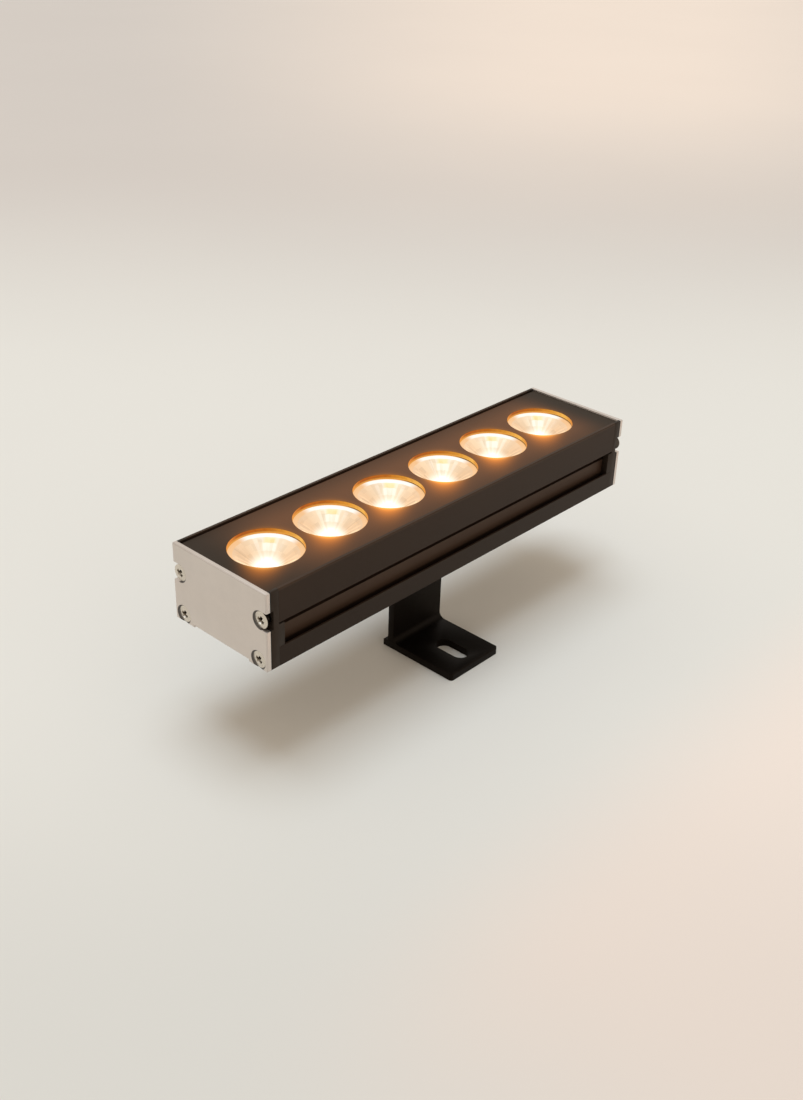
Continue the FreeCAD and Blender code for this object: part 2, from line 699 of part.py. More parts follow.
def make_thermal_pad():
    """Pad between the LED board and the web."""
    piece = Piece("thermal_pad", z=head_z)
    half_x = led_board_length / 2 - get("pad_margin")
    half_y = get("led_board_width") / 2 - get("pad_margin")
    piece.box("Pad", (-half_x, -half_y, web_high), (half_x, half_y, led_board_low))
    hole = piece.drill(
        "ScrewHole", "XY_Plane", (first_lens_x + lens_pitch / 2, 0, web_high - OVERCUT),
        get("board_screw_radius") + play, get("pad_thickness") + 2 * OVERCUT)
    piece.repeat(hole, "ScrewHoles", lens_pitch, get("lens_count") - 1)
    cut_link_window(piece, web_high - OVERCUT, led_board_low + OVERCUT)
    return piece.body


def make_led_emitters():
    """One emitter under each lens: a square base and a small dome."""
    emitters = []
    half = get("emitter_side") / 2
    for index in LENSES:
        emitter = Piece(f"emitter_{index + 1}", x=first_lens_x + index * lens_pitch)
        emitter.box("Base", (-half, -half, 0), (half, half, get("emitter_height")))
        emitter.primitive(
            "AdditiveCone", "Dome", "XY_Plane", (0, 0, get("emitter_height")),
            Radius1=get("emitter_dome_radius"), Radius2=get("emitter_dome_top"),
            Height=get("emitter_dome_height"))
        emitters.append(emitter)
    return group("led_emitters", emitters, z=head_z + led_board_high)


def make_board_screws():
    """Screws that hold the LED board down onto the web."""
    screws = []
    grip = get("board_screw_grip") + get("pad_thickness") + get("board_thickness")
    shank = get("board_screw_radius")
    head = get("board_screw_head")
    crown = get("board_screw_head_height")
    for index in LENSES[:-1]:
        screw = Piece(f"board_screw_{index + 1}", x=first_lens_x + (index + 0.5) * lens_pitch)
        profile = screw.sketch("ScrewProfile", "XZ_Plane")
        outline(profile, (
            (0, -grip), (shank, -grip), (shank, 0), (head, 0), (head, crown), (0, crown)))
        screw.revolve(profile, "Screw", "V_Axis")
        screws.append(screw)
    return group("board_screws", screws, z=head_z + led_board_high)


# ---------------------------------------------------------------------------- driver

def make_driver_board():
    """Driver board, held in the card grooves."""
    piece = Piece("driver_board", z=head_z)
    half = card_half - play
    piece.box(
        "Board", (driver_far_x - get("driver_board_length"), -half, card_low),
        (driver_far_x, half, driver_top))
    return piece.body


def make_driver_choke():
    """Drum choke: a winding between two flanges."""
    piece = Piece("driver_choke", x=driver_far_x - get("choke_setback"), z=head_z + driver_top)
    flange = get("choke_diameter") / 2
    winding = get("choke_winding_diameter") / 2
    tall = get("component_height")
    rim = get("choke_flange")
    profile = piece.sketch("ChokeProfile", "XZ_Plane")
    outline(profile, (
        (0, 0), (flange, 0), (flange, rim), (winding, rim), (winding, tall - rim),
        (flange, tall - rim), (flange, tall), (0, tall)))
    piece.revolve(profile, "Choke", "V_Axis")
    return piece.body


def make_driver_capacitors():
    """Pair of low capacitors beside each other."""
    capacitors = []
    radius = get("capacitor_diameter") / 2
    for number, side in enumerate((-1, 1), start=1):
        capacitor = Piece(f"capacitor_{number}", y=side * get("capacitor_spacing") / 2)
        capacitor.box("Base", (-radius, -radius, 0), (radius, radius, get("capacitor_base")))
        capacitor.primitive(
            "AdditiveCylinder", "Can", "XY_Plane", (0, 0, 0), Radius=radius,
            Height=get("component_height"))
        capacitors.append(capacitor)
    return group("driver_capacitors", capacitors, x=driver_far_x - get("capacitor_setback"),
                 z=head_z + driver_top)


def make_driver_chip():
    """Driver chip."""
    piece = Piece("driver_chip", x=driver_far_x - get("chip_setback"), z=head_z + driver_top)
    half_x = get("chip_length") / 2
    half_y = get("chip_width") / 2
    piece.box("Chip", (-half_x, -half_y, 0), (half_x, half_y, get("chip_height")))
    return piece.body


def make_terminal_block():
    """Two-way terminal block, with its wire entries towards the gland."""
    piece = Piece("terminal_block", x=driver_far_x - get("terminal_setback"),
                  z=head_z + driver_top)
    half = get("terminal_width") / 2
    tall = get("component_height")
    piece.box("Block", (-get("terminal_length"), -half, 0), (0, half, tall))
    for number, side in enumerate((-1, 1), start=1):
        y = side * get("terminal_pitch") / 2
        piece.drill(
            f"Entry{number}", "YZ_Plane", (y, tall / 2, -get("terminal_length") / 2),
            get("terminal_entry"), get("terminal_length") / 2 + OVERCUT)
        piece.drill(
            f"ScrewWell{number}", "XY_Plane", (-get("terminal_length") / 2, y, tall / 2),
            get("terminal_entry"), tall / 2 + OVERCUT)
    return piece.body


def make_board_link():
    """Pin header from the driver board up through the web into the LED board."""
    piece = Piece("board_link", x=link_x, y=get("link_offset"), z=head_z + driver_top)
    half_x = get("link_pitch")
    half_y = get("link_pitch") / 2
    piece.box("Header", (-half_x, -half_y, 0), (half_x, half_y, get("link_height")))
    pin_half = get("link_pin") / 2
    pin_top = led_board_high + get("link_pin_stand") - driver_top
    for number, side in enumerate((-1, 1), start=1):
        x = side * get("link_pitch") / 2
        piece.box(f"Pin{number}", (x - pin_half, -pin_half, 0), (x + pin_half, pin_half, pin_top))
    return piece.body


# ---------------------------------------------------------------------------- ends

def end_profile(piece, name, top, end):
    """Draw a section of an end: its outline below the top given, its screw and cable holes."""
    edge = get("edge_break")
    profile = piece.sketch(name, "YZ_Plane")
    outline(profile, both_sides((
        (rail_inner, rail), (rail_inner, 0), (half_width - edge, 0), (half_width, edge),
        (half_width, height - edge), (half_width - edge, height)) + top))
    for y, z in END_SCREWS:
        circle(profile, y, z, screw_hole_radius)
        circle(profile, -y, z, screw_hole_radius)
    if end == "far":
        circle(profile, 0, gland_z, gland_hole_radius)
    return profile


COVER_SEAT = (
    (rim_inner, height), (rim_inner, groove_high), (groove_half, groove_high),
    (groove_half, ledge))


def cut_notches(piece, low, high):
    """Open the upper screws' holes to the long sides, from low to high."""
    outer = half_width + OVERCUT
    for mark, start, stop in (("Front", -outer, -upper_screw_y), ("Rear", upper_screw_y, outer)):
        piece.box(
            f"Notch{mark}", (start, upper_screw_z - sink_radius, low),
            (stop, upper_screw_z + sink_radius, high + OVERCUT), cut=True, role="YZ_Plane")


def on_side(side, inner, outer):
    """Return two distances from the middle plane, lowest first, on side 1 or -1."""
    return (inner, outer) if side > 0 else (-outer, -inner)


def make_end_cap(end):
    """Cap that closes the extrusion, with plugs in its chambers, channels and undercuts."""
    x, turn = END_FRAMES[end]
    piece = Piece(f"end_cap_{end}", x=x, z=head_z, turn=turn)
    thick = get("cap_thickness")
    piece.pad(end_profile(piece, "CapProfile", COVER_SEAT, end), "Cap", thick)
    depth = -get("plug_length")
    inner = chamber_half - play
    piece.box(
        "LensPlug", (-inner, web_high + play, depth),
        (inner, port_block_high - play, 0), role="YZ_Plane")
    gap = get("plug_gap")
    undercut = get("band_height") - get("undercut_depth") + gap
    channel = get("band_height") + gap
    for mark, side in (("Front", -1), ("Rear", 1)):
        for name, inner, outer, low, high in (
                ("Driver", pocket_inner + play, pocket_outer - play, pocket_floor + play,
                 web_low - play),
                ("Undercut", channel_face + gap, lip_face - gap, undercut, channel),
                ("Channel", channel_face + gap, half_width, channel,
                 channel_high - get("channel_plug_gap"))):
            start, stop = on_side(side, inner, outer)
            piece.box(f"{name}Plug{mark}", (start, low, depth), (stop, high, 0),
                      role="YZ_Plane")
    cut_notches(piece, thick - get("notch_depth"), thick)
    return piece.body


def make_end_gasket(end):
    """Thin gasket between a cap and its end plate."""
    x, turn = END_FRAMES[end]
    piece = Piece(f"end_gasket_{end}", z=head_z, turn=turn,
                  x=x + (get("cap_thickness") if end == "far" else -get("cap_thickness")))
    thick = get("end_gasket_thickness")
    piece.pad(end_profile(piece, "GasketProfile", COVER_SEAT, end), "Gasket", thick)
    cut_notches(piece, -OVERCUT, thick)
    return piece.body


def make_end_plate(end):
    """Bright plate with a bevelled face, countersinks, and notches open to the long sides."""
    x, turn = END_FRAMES[end]
    inset = get("cap_thickness") + get("end_gasket_thickness")
    piece = Piece(f"end_plate_{end}", z=head_z, turn=turn,
                  x=x + (inset if end == "far" else -inset))
    thick = get("plate_thickness")
    piece.pad(end_profile(piece, "PlateProfile", (), end), "Plate", thick)

    def outer_edge(edge):
        box = edge.BoundBox
        outside = near(box.YMin, -half_width) or near(box.YMax, half_width)
        return near(box.XMin, thick) and (
            outside or near(box.ZMin, height) or near(box.ZMax, rail) or near(box.ZMax, 0)
            or near(box.ZLength, rail) and near(box.YLength, 0))
    piece.dress("Chamfer", "Bevel", get("plate_bevel"), outer_edge)

    cut_notches(piece, -OVERCUT, thick)
    for number, (y, z) in enumerate(END_SCREWS, start=1):
        for mark, side in (("Front", -1), ("Rear", 1)):
            piece.primitive(
                "SubtractiveCone", f"Countersink{mark}{number}", "YZ_Plane",
                (side * y, z, thick - sink_radius), Radius1=0.0,
                Radius2=sink_radius, Height=sink_radius)
    return piece.body


def make_end_screws(end):
    """Four countersunk screws with a raised head and a cross recess."""
    x, turn = END_FRAMES[end]
    reach = plate_outer - get("screw_sink") + get("thread_gap")
    head = get("screw_head_radius")
    neck = get("screw_radius")
    core = get("screw_core")
    dome = get("screw_dome")
    tip = -get("screw_length")
    neck_end = play - reach
    point = core - neck / 4
    screws = []
    for level, (y, z) in zip(("upper", "lower"), END_SCREWS):
        for mark, side in (("front", -1), ("rear", 1)):
            screw = Piece(f"end_screw_{end}_{level}_{mark}", y=side * y, z=z)
            profile = screw.sketch("ScrewProfile", "XY_Plane")
            outline(profile, (
                (tip, 0), (dome, 0), (dome, get("screw_crown")), (0, head),
                (neck - head, neck), (neck_end, neck), (neck_end, core),
                (tip + core - point, core), (tip, point)))
            screw.revolve(profile, "Screw", "H_Axis")
            arm = get("cross_length") / 2
            half = get("cross_width") / 2
            low = dome - get("cross_depth")
            for name, half_y, half_z in (("ArmAcross", arm, half), ("ArmUpright", half, arm)):
                screw.box(name, (-half_y, -half_z, low), (half_y, half_z, dome + OVERCUT),
                          cut=True, role="YZ_Plane")
            screws.append(screw)
    return group(f"end_screws_{end}", screws, z=head_z, turn=turn,
                 x=x + (reach if end == "far" else -reach))


# ---------------------------------------------------------------------------- cable entry

HEX_CORNER = math.sqrt(3)  # across flats over the radius to a corner


def hexagon(piece, name, x, length):
    """Add a hexagon with its axis along X."""
    made = piece.primitive(
        "AdditivePrism", name, "YZ_Plane", (0, 0, x),
        Circumradius=get("gland_across_flats") / HEX_CORNER, Height=length)
    made.Polygon = 6
    return made


def turned(piece, name, x, length, radius):
    """Add a cylinder with its axis along X."""
    return piece.primitive(
        "AdditiveCylinder", name, "YZ_Plane", (0, 0, x), Radius=radius, Height=length)


def gland_piece(label):
    """Start a piece of the cable entry, with its frame on the gland's axis."""
    return Piece(label, x=half_length, z=head_z + gland_z)


gland_seat = plate_outer + get("gland_washer_thickness")
gland_shoulder = gland_seat + get("gland_hex_length")
gland_neck_end = gland_shoulder + get("gland_neck_length")


def make_gland_washer():
    """Sealing washer between the gland and the far end plate."""
    piece = gland_piece("gland_washer")
    turned(piece, "Washer", plate_outer, get("gland_washer_thickness"),
           get("gland_across_flats") / 2)
    piece.drill("Hole", "YZ_Plane", (0, 0, plate_outer - OVERCUT), gland_hole_radius,
                get("gland_washer_thickness") + 2 * OVERCUT)
    return piece.body


def make_gland_body():
    """Gland body, screwed through the end plate into the far cap."""
    piece = gland_piece("gland_body")
    turned(piece, "Thread", 0.0, gland_seat, get("gland_radius"))
    hexagon(piece, "Hexagon", gland_seat, get("gland_hex_length"))
    turned(piece, "Neck", gland_shoulder, get("gland_neck_length"), get("gland_neck_radius"))
    piece.drill("Bore", "YZ_Plane", (0, 0, -OVERCUT), get("gland_bore_radius"),
                gland_neck_end + 2 * OVERCUT)
    return piece.body


def make_gland_seal():
    """Rubber sleeve that closes on the cable."""
    piece = gland_piece("gland_seal")
    start = gland_neck_end - get("seal_length")
    turned(piece, "Sleeve", start, get("seal_length"), get("gland_bore_radius"))
    piece.drill("Bore", "YZ_Plane", (0, 0, start - OVERCUT), get("seal_bore_radius"),
                get("seal_length") + 2 * OVERCUT)
    return piece.body


def make_gland_nut():
    """Domed nut that squeezes the seal."""
    piece = gland_piece("gland_nut")
    start = gland_shoulder + play
    hexagon(piece, "Hexagon", start, get("gland_nut_hex"))
    front = start + get("gland_nut_hex")
    piece.primitive(
        "AdditiveCone", "Dome", "YZ_Plane", (0, 0, front),
        Radius1=get("gland_across_flats") / 2, Radius2=get("gland_nut_front_radius"),
        Height=get("gland_nut_face"))
    piece.drill("NeckBore", "YZ_Plane", (0, 0, start - OVERCUT),
                get("gland_neck_radius") + get("thread_gap"),
                gland_neck_end + get("thread_gap") - start + OVERCUT)
    piece.drill("Opening", "YZ_Plane", (0, 0, start), get("gland_nut_bore"),
                get("gland_nut_hex") + get("gland_nut_face") + OVERCUT)
    return piece.body


# ---------------------------------------------------------------------------- the light

subparts = [
    make_foot_bracket(), make_clamp_screws(), make_housing(), make_cover_plate(),
    make_cover_gasket(), make_led_board(), make_led_emitters(), make_board_screws(),
    make_thermal_pad(), make_driver_board(), make_driver_choke(), make_driver_capacitors(),
    make_driver_chip(), make_terminal_block(), make_board_link(), make_gland_washer(),
    make_gland_body(), make_gland_seal(), make_gland_nut()]
subparts += [make_lens(index) for index in LENSES]
for end in END_FRAMES:
    subparts += [make_end_cap(end), make_end_gasket(end), make_end_plate(end),
                 make_end_screws(end)]

doc.recompute()
for item in doc.Objects:
    if "Invalid" in item.State or "Error" in item.State:
        raise RuntimeError(f"{item.Label} failed: {item.State}")
for item in subparts:
    if item.Shape.isNull() or not item.Shape.isValid():
        raise RuntimeError(f"{item.Label} has no valid shape")

os.makedirs("parts", exist_ok=True)
for item in subparts:
    item.Shape.exportStep(f"parts/{item.Label}.step")
print(f"{len(subparts)} sub-parts, {sum(len(item.Shape.Solids) for item in subparts)} solids")
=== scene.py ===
"""Studio picture of a linear outdoor wall washer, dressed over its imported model."""

import json
import logging
import math
from dataclasses import dataclass, field
from enum import Enum
from typing import Sequence

import bmesh
import bpy
from mathutils import Matrix, Vector


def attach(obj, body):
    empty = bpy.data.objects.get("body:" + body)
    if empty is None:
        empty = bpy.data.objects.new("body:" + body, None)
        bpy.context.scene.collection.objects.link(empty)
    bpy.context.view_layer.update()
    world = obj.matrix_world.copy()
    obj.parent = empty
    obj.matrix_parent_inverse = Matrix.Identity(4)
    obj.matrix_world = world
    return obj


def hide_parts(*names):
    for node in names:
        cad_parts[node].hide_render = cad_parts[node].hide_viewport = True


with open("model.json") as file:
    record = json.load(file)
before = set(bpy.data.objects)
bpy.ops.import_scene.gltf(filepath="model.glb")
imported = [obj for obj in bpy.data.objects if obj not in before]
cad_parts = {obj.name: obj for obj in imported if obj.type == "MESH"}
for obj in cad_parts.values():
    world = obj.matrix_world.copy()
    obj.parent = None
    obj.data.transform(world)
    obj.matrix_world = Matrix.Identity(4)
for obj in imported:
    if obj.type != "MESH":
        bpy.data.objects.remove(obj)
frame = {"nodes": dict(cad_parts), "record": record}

MM = 0.001
PER_METRE = 1000.0
FALL = math.exp(-1.0)  # what is left of a glow after one of its lengths
Colour = tuple[float, float, float]
Point = tuple[float, float, float]
Span = tuple[float, float]
Stop = tuple[float, Colour]
Socket = bpy.types.NodeSocket
Material = bpy.types.Material
Mesh = bpy.types.Mesh
Object = bpy.types.Object
log = logging.getLogger("wall_washer")


class Body(Enum):
    """The bodies that pieces ride on."""

    BRACKET = "bracket"
    HEAD = "head"


class End(Enum):
    """The two ends of the light: which way each faces along X."""

    NEAR = -1
    FAR = 1

    @property
    def mark(self) -> str:
        """Return the word that ends this end's node names."""
        return self.name.lower()


def srgb(red: int, green: int, blue: int) -> Colour:
    """Turn a colour written as 0 to 255 into the linear values that shaders take.

    Args:
        red, green, blue: the colour as it should look on screen.

    Returns:
        The same colour in linear light.
    """
    def linear(value: int) -> float:
        """Return one channel in linear light."""
        share = value / 255
        return share / 12.92 if share <= 0.04045 else ((share + 0.055) / 1.055) ** 2.4
    return linear(red), linear(green), linear(blue)


# ------------------------------------------------------------------------------ node trees

class Nodes:
    """A node tree, with a short way to add a node."""

    prefix = ""

    def __init__(self, tree: bpy.types.NodeTree) -> None:
        """Take the tree to add to."""
        self.tree = tree

    def node(self, kind: str, **inputs: object) -> bpy.types.Node:
        """Add a node, with its inputs given as sockets to link or values to set.

        Args:
            kind: the node's type, without the prefix of this class.
            inputs: input name, with _ for a space, or in0, in1... for a numbered input.

        Returns:
            The node.
        """
        made = self.tree.nodes.new(self.prefix + kind)
        for name, amount in inputs.items():
            number = name[2:]
            key = int(number) if name.startswith("in") and number.isdigit() else (
                name.replace("_", " "))
            if isinstance(amount, Socket):
                self.tree.links.new(amount, made.inputs[key])
            else:
                made.inputs[key].default_value = amount
        return made


class Shader(Nodes):
    """One procedural material, built node by node round a Principled shader."""

    prefix = "ShaderNode"

    def __init__(self, material: Material) -> None:
        """Take a material that has its Principled shader.

        Args:
            material: the material to build on.
        """
        super().__init__(material.node_tree)
        self.surface = self.tree.nodes["Principled BSDF"]
        self.place = self.node("TexCoord").outputs["Object"]

    def value(self, name: str, amount: object) -> None:
        """Set a plain value on the Principled shader itself.

        Args:
            name: the input's name.
            amount: a number or a colour.
        """
        if isinstance(amount, tuple) and len(amount) == 3:
            amount = (*amount, 1.0)
        self.surface.inputs[name].default_value = amount

    def feed(self, name: str, source: Socket) -> None:
        """Drive one input of the Principled shader."""
        self.tree.links.new(source, self.surface.inputs[name])

    def sum(self, operation: str, first: object, second: object = 0.0) -> Socket:
        """Do one sum on two numbers.

        Args:
            operation: the Math node's name for it.
            first, second: sockets or plain numbers.

        Returns:
            The result.
        """
        made = self.node("Math", in0=first, in1=second)
        made.operation = operation
        return made.outputs[0]

    def noise(self, scale: float, detail: float = 3.0, rough: float = 0.55,
              stretch: Sequence[float] = (1, 1, 1)) -> Socket:
        """Make a soft noise on the object's coordinates.

        Args:
            scale: how many waves there are in a metre.
            detail, rough: how many finer waves are added, and how strong they are.
            stretch: a factor for each axis, below 1 to draw the pattern out.

        Returns:
            The noise, from 0 to 1.
        """
        spot = self.node("Mapping", Vector=self.place, Scale=tuple(stretch)).outputs[0]
        return self.node("TexNoise", Vector=spot, Scale=scale, Detail=detail,
                         Roughness=rough).outputs[0]

    def ramp(self, source: Socket, stops: Sequence[Stop]) -> Socket:
        """Turn a number into a colour.

        Args:
            source: the number, from 0 to 1.
            stops: the colour at some of its values, in order.

        Returns:
            The colour, blended evenly from stop to stop.
        """
        made = self.node("ValToRGB", Fac=source)
        band = made.color_ramp
        while len(band.elements) < len(stops):
            band.elements.new(0.5)
        for element, (place, colour) in zip(band.elements, stops):
            element.position = place
            element.color = (*colour, 1.0)
        return made.outputs[0]

    def blend(self, share: object, first: object, second: object) -> Socket:
        """Mix two colours.

        Args:
            share: how much of the second colour is taken, from 0 to 1.
            first, second: sockets or plain colours.

        Returns:
            The mixed colour.
        """
        made = self.node("Mix")
        made.data_type = "RGBA"
        for name, amount in (("Factor_Float", share), ("A_Color", first), ("B_Color", second)):
            socket = next(item for item in made.inputs if item.identifier == name)
            if isinstance(amount, Socket):
                self.tree.links.new(amount, socket)
            else:
                socket.default_value = (*amount, 1.0) if isinstance(amount, tuple) else amount
        return next(item for item in made.outputs if item.identifier == "Result_Color")

    def spread(self, source: Socket, low: float, high: float) -> Socket:
        """Move a 0 to 1 value into a range."""
        return self.node("MapRange", Value=source, To_Min=low, To_Max=high).outputs[0]

    def spread_from(self, source: Socket, low: float, high: float) -> Socket:
        """Move a value from a range onto 0 to 1."""
        return self.node("MapRange", Value=source, From_Min=low, From_Max=high).outputs[0]

    def rise(self, source: Socket, start: float, end: float) -> Socket:
        """Make a soft step.

        Args:
            source: the number that the step depends on.
            start, end: where the step is 0 and where it is 1.

        Returns:
            The step, from 0 to 1.
        """
        made = self.node("MapRange", Value=source, From_Min=start, From_Max=end)
        made.interpolation_type = "SMOOTHSTEP"
        return made.outputs[0]

    def scaled(self, colour: object, share: Socket) -> Socket:
        """Make a colour darker or brighter.

        Args:
            colour: a socket or a plain colour.
            share: the factor.

        Returns:
            The changed colour.
        """
        made = self.node("VectorMath", in0=colour)
        made.operation = "SCALE"
        self.tree.links.new(share, made.inputs["Scale"])
        return made.outputs[0]

    def added(self, *colours: Socket) -> Socket:
        """Add up some colours.

        Args:
            colours: the colours, two or more.

        Returns:
            Their sum.
        """
        total = colours[0]
        for colour in colours[1:]:
            made = self.node("VectorMath", in0=total, in1=colour)
            made.operation = "ADD"
            total = made.outputs[0]
        return total

    def times(self, *factors: object) -> Socket:
        """Multiply some numbers.

        Args:
            factors: sockets or plain numbers, two or more.

        Returns:
            Their product.
        """
        total = factors[0]
        for factor in factors[1:]:
            total = self.sum("MULTIPLY", total, factor)
        return total

    def along(self, x: Socket, y: Socket, heading: Span) -> Socket:
        """Return how far a place lies along a heading."""
        return self.sum("ADD", self.times(x, heading[0]), self.times(y, heading[1]))

    def reach(self, x: Socket, y: Socket) -> Socket:
        """Return how far a place lies from the middle."""
        return self.sum("SQRT", self.sum("ADD", self.times(x, x), self.times(y, y)))

    def axes(self) -> tuple[Socket, Socket, Socket]:
        """Return the place's X, Y and Z, in metres."""
        return tuple(self.node("SeparateXYZ", Vector=self.place).outputs)

    def attribute(self, name: str) -> Socket:
        """Read one of the piece's own attributes.

        Args:
            name: the attribute's name.

        Returns:
            Its value at each place.
        """
        made = self.node("Attribute")
        made.attribute_name = name
        return made.outputs["Fac"]

    def relief(self, height: Socket, depth_mm: float) -> None:
        """Give the surface a relief of that depth in millimetres."""
        bump = self.node("Bump", Height=height, Strength=1.0, Distance=depth_mm * MM)
        self.feed("Normal", bump.outputs[0])


class PieceTree(Nodes):
    """A Geometry Nodes tree with named inputs, used once as a modifier and then applied."""

    def __init__(self, name: str) -> None:
        """Start a tree that takes and returns geometry.

        Args:
            name: the tree's name.
        """
        super().__init__(bpy.data.node_groups.new(name, "GeometryNodeTree"))
        self.tree.is_modifier = True
        self.tree.interface.new_socket(
            "Geometry", in_out="OUTPUT", socket_type="NodeSocketGeometry")
        self.inlet = self.tree.nodes.new("NodeGroupInput")
        self.outlet = self.tree.nodes.new("NodeGroupOutput")
        self.sockets: dict[str, str] = {}
        self.add_input("Geometry", "Geometry")

    def add_input(self, name: str, kind: str) -> Socket:
        """Add a named input.

        Args:
            name: its name, for people.
            kind: its type, without the NodeSocket prefix.

        Returns:
            The socket that carries it into the tree.
        """
        made = self.tree.interface.new_socket(
            name, in_out="INPUT", socket_type=f"NodeSocket{kind}")
        self.sockets[name] = made.identifier
        return next(item for item in self.inlet.outputs if item.identifier == made.identifier)

    def finish(self, geometry: Socket, finish: Socket) -> None:
        """End the tree in Realize Instances and Set Material.

        Args:
            geometry: what the tree made.
            finish: its material.
        """
        real = self.node("GeometryNodeRealizeInstances", Geometry=geometry)
        dressed = self.node("GeometryNodeSetMaterial", Geometry=real.outputs[0], Material=finish)
        self.tree.links.new(dressed.outputs[0], self.outlet.inputs[0])

    def apply(self, host: Object, name: str, **inputs: object) -> Object:
        """Run the tree on a host and return the result as a plain mesh object.

        Args:
            host: the object that the modifier goes on; it is removed afterwards.
            name: the finished piece's name.
            inputs: a value for each named input, with _ for a space.

        Returns:
            The finished piece, with its place in its mesh.
        """
        modifier = host.modifiers.new(self.tree.name, "NODES")
        modifier.node_group = self.tree
        for title, amount in inputs.items():
            modifier[self.sockets[title.replace("_", " ")]] = amount
        return settle(host, name)


def settle(host: Object, name: str) -> Object:
    """Turn an object with modifiers into a plain mesh object.

    Args:
        host: the object, which is removed.
        name: the new object's name.

    Returns:
        The plain object.
    """
    view = bpy.context.evaluated_depsgraph_get()
    view.update()
    mesh = bpy.data.meshes.new_from_object(host.evaluated_get(view), depsgraph=view)
    mesh.name = name
    host.modifiers.clear()
    bpy.data.objects.remove(host)
    return stand(name, mesh)


def stand(name: str, mesh: Mesh) -> Object:
    """Put a mesh into the scene as an object at the origin.

    Args:
        name: the object's name.
        mesh: its mesh.

    Returns:
        The object.
    """
    made = bpy.data.objects.new(name, mesh)
    bpy.context.scene.collection.objects.link(made)
    return made


def tidy(mesh: Mesh, weld_mm: float = 0.001, crease: float = 30.0) -> None:
    """Weld doubles, point the faces outwards and round off all but the sharp edges.

    Args:
        mesh: the mesh to change.
        weld_mm: how close two corners are joined.
        crease: edges sharper than this many degrees stay sharp.
    """
    work = bmesh.new()
    work.from_mesh(mesh)
    bmesh.ops.remove_doubles(work, verts=work.verts, dist=weld_mm * MM)
    bmesh.ops.dissolve_degenerate(work, edges=work.edges, dist=weld_mm * MM / 10)
    bmesh.ops.recalc_face_normals(work, faces=work.faces)
    work.to_mesh(mesh)
    work.free()
    mesh.polygons.foreach_set("use_smooth", [True] * len(mesh.polygons))
    mesh.set_sharp_from_angle(angle=math.radians(crease))


# ------------------------------------------------------------------------------ finishes

@dataclass(frozen=True)
class Finish:
    """What every finish has: a name, a colour, a roughness, its metal and its shine."""

    name: str
    colour: Colour
    roughness: float
    metallic: float = 0.0
    shine: float = 0.5
    shine_colour: Colour = (1.0, 1.0, 1.0)

    def make(self) -> Material:
        """Build the material.

        Returns:
            The finished material.
        """
        material = bpy.data.materials.new(self.name)
        material.use_nodes = True
        shader = Shader(material)
        shader.value("Metallic", self.metallic)
        shader.value("Roughness", self.roughness)
        shader.value("Specular IOR Level", self.shine)
        shader.value("Specular Tint", self.shine_colour)
        self.paint(shader)
        return material

    def paint(self, shader: Shader) -> None:
        """Add what this finish has beyond its plain values.

        Args:
            shader: the material.
        """
        raise NotImplementedError

    def tone(self, shader: Shader, source: Socket, spread: float) -> Socket:
        """Vary the finish's colour.

        Args:
            shader: the material.
            source: a number from 0 to 1, high where the colour is lighter.
            spread: how much lighter and darker it gets, as a share.

        Returns:
            The colour.
        """
        low = tuple(channel * (1 - spread) for channel in self.colour)
        high = tuple(min(1.0, channel * (1 + spread)) for channel in self.colour)
        return shader.ramp(source, ((0.25, low), (0.75, high)))

    def grind(self, shader: Shader, source: Socket, finer: float, coarser: float) -> None:
        """Vary the finish's roughness with a number from 0 to 1."""
        shader.feed("Roughness", shader.spread(
            source, self.roughness - finer, self.roughness + coarser))


@dataclass(frozen=True)
class AnodisedExtrusion(Finish):
    """Satin anodising over the fine draw lines of an extrusion, which run along X.

    Each of its height tones is painted light and shade: a height in millimetres and the share of
    the colour seen there, lighter or darker for how the light falls at that height.
    """

    line_scale: float = 2600.0
    line_depth_mm: float = 0.004
    line_draw: float = 0.012
    cloud_scale: float = 38.0
    shares: Span = (0.45, 0.55)
    spread: float = 0.16
    tone_heights: Span = (50.0, 100.0)
    tones: tuple[Span, ...] = ()

    def paint(self, shader: Shader) -> None:
        """Lay the cloudy colour, the painted light and shade at each height and the draw lines.

        Args:
            shader: the material.
        """
        lines = shader.noise(self.line_scale, 4, 0.7, (self.line_draw, 1, 1))
        cloud = shader.noise(self.cloud_scale, 3, 0.5)
        tone = self.tone(shader, shader.along(lines, cloud, self.shares), self.spread)
        # painted light and shade: the colour is scaled by height, so the side channel and the
        # top are lighter and the bands darker
        if self.tones:
            low, high = self.tone_heights
            height = shader.spread_from(shader.axes()[2], low * MM, high * MM)
            steps = shader.ramp(height, [
                ((z - low) / (high - low), (share / 2,) * 3) for z, share in self.tones])
            tone = shader.scaled(tone, shader.times(steps, 2.0))
        shader.feed("Base Color", tone)
        self.grind(shader, lines, 0.07, 0.07)
        shader.relief(lines, self.line_depth_mm)


@dataclass(frozen=True)
class LensRow:
    """Where the lenses stand, their openings and wells, in millimetres."""

    first: float = -97.9
    pitch: float = 38.1
    count: int = 6
    opening: float = 16.9
    flange: float = 18.0
    well: float = 15.6
    well_floor: float = 4.6
    well_depth: float = 7.0

    @property
    def centres(self) -> list[float]:
        """Return each lens's place along X, in millimetres."""
        return [self.first + self.pitch * number for number in range(self.count)]


@dataclass(frozen=True)
class Glow:
    """Light that spills out of an opening: its colour, its length and its half width in mm."""

    colour: Colour
    length: float
    width: float


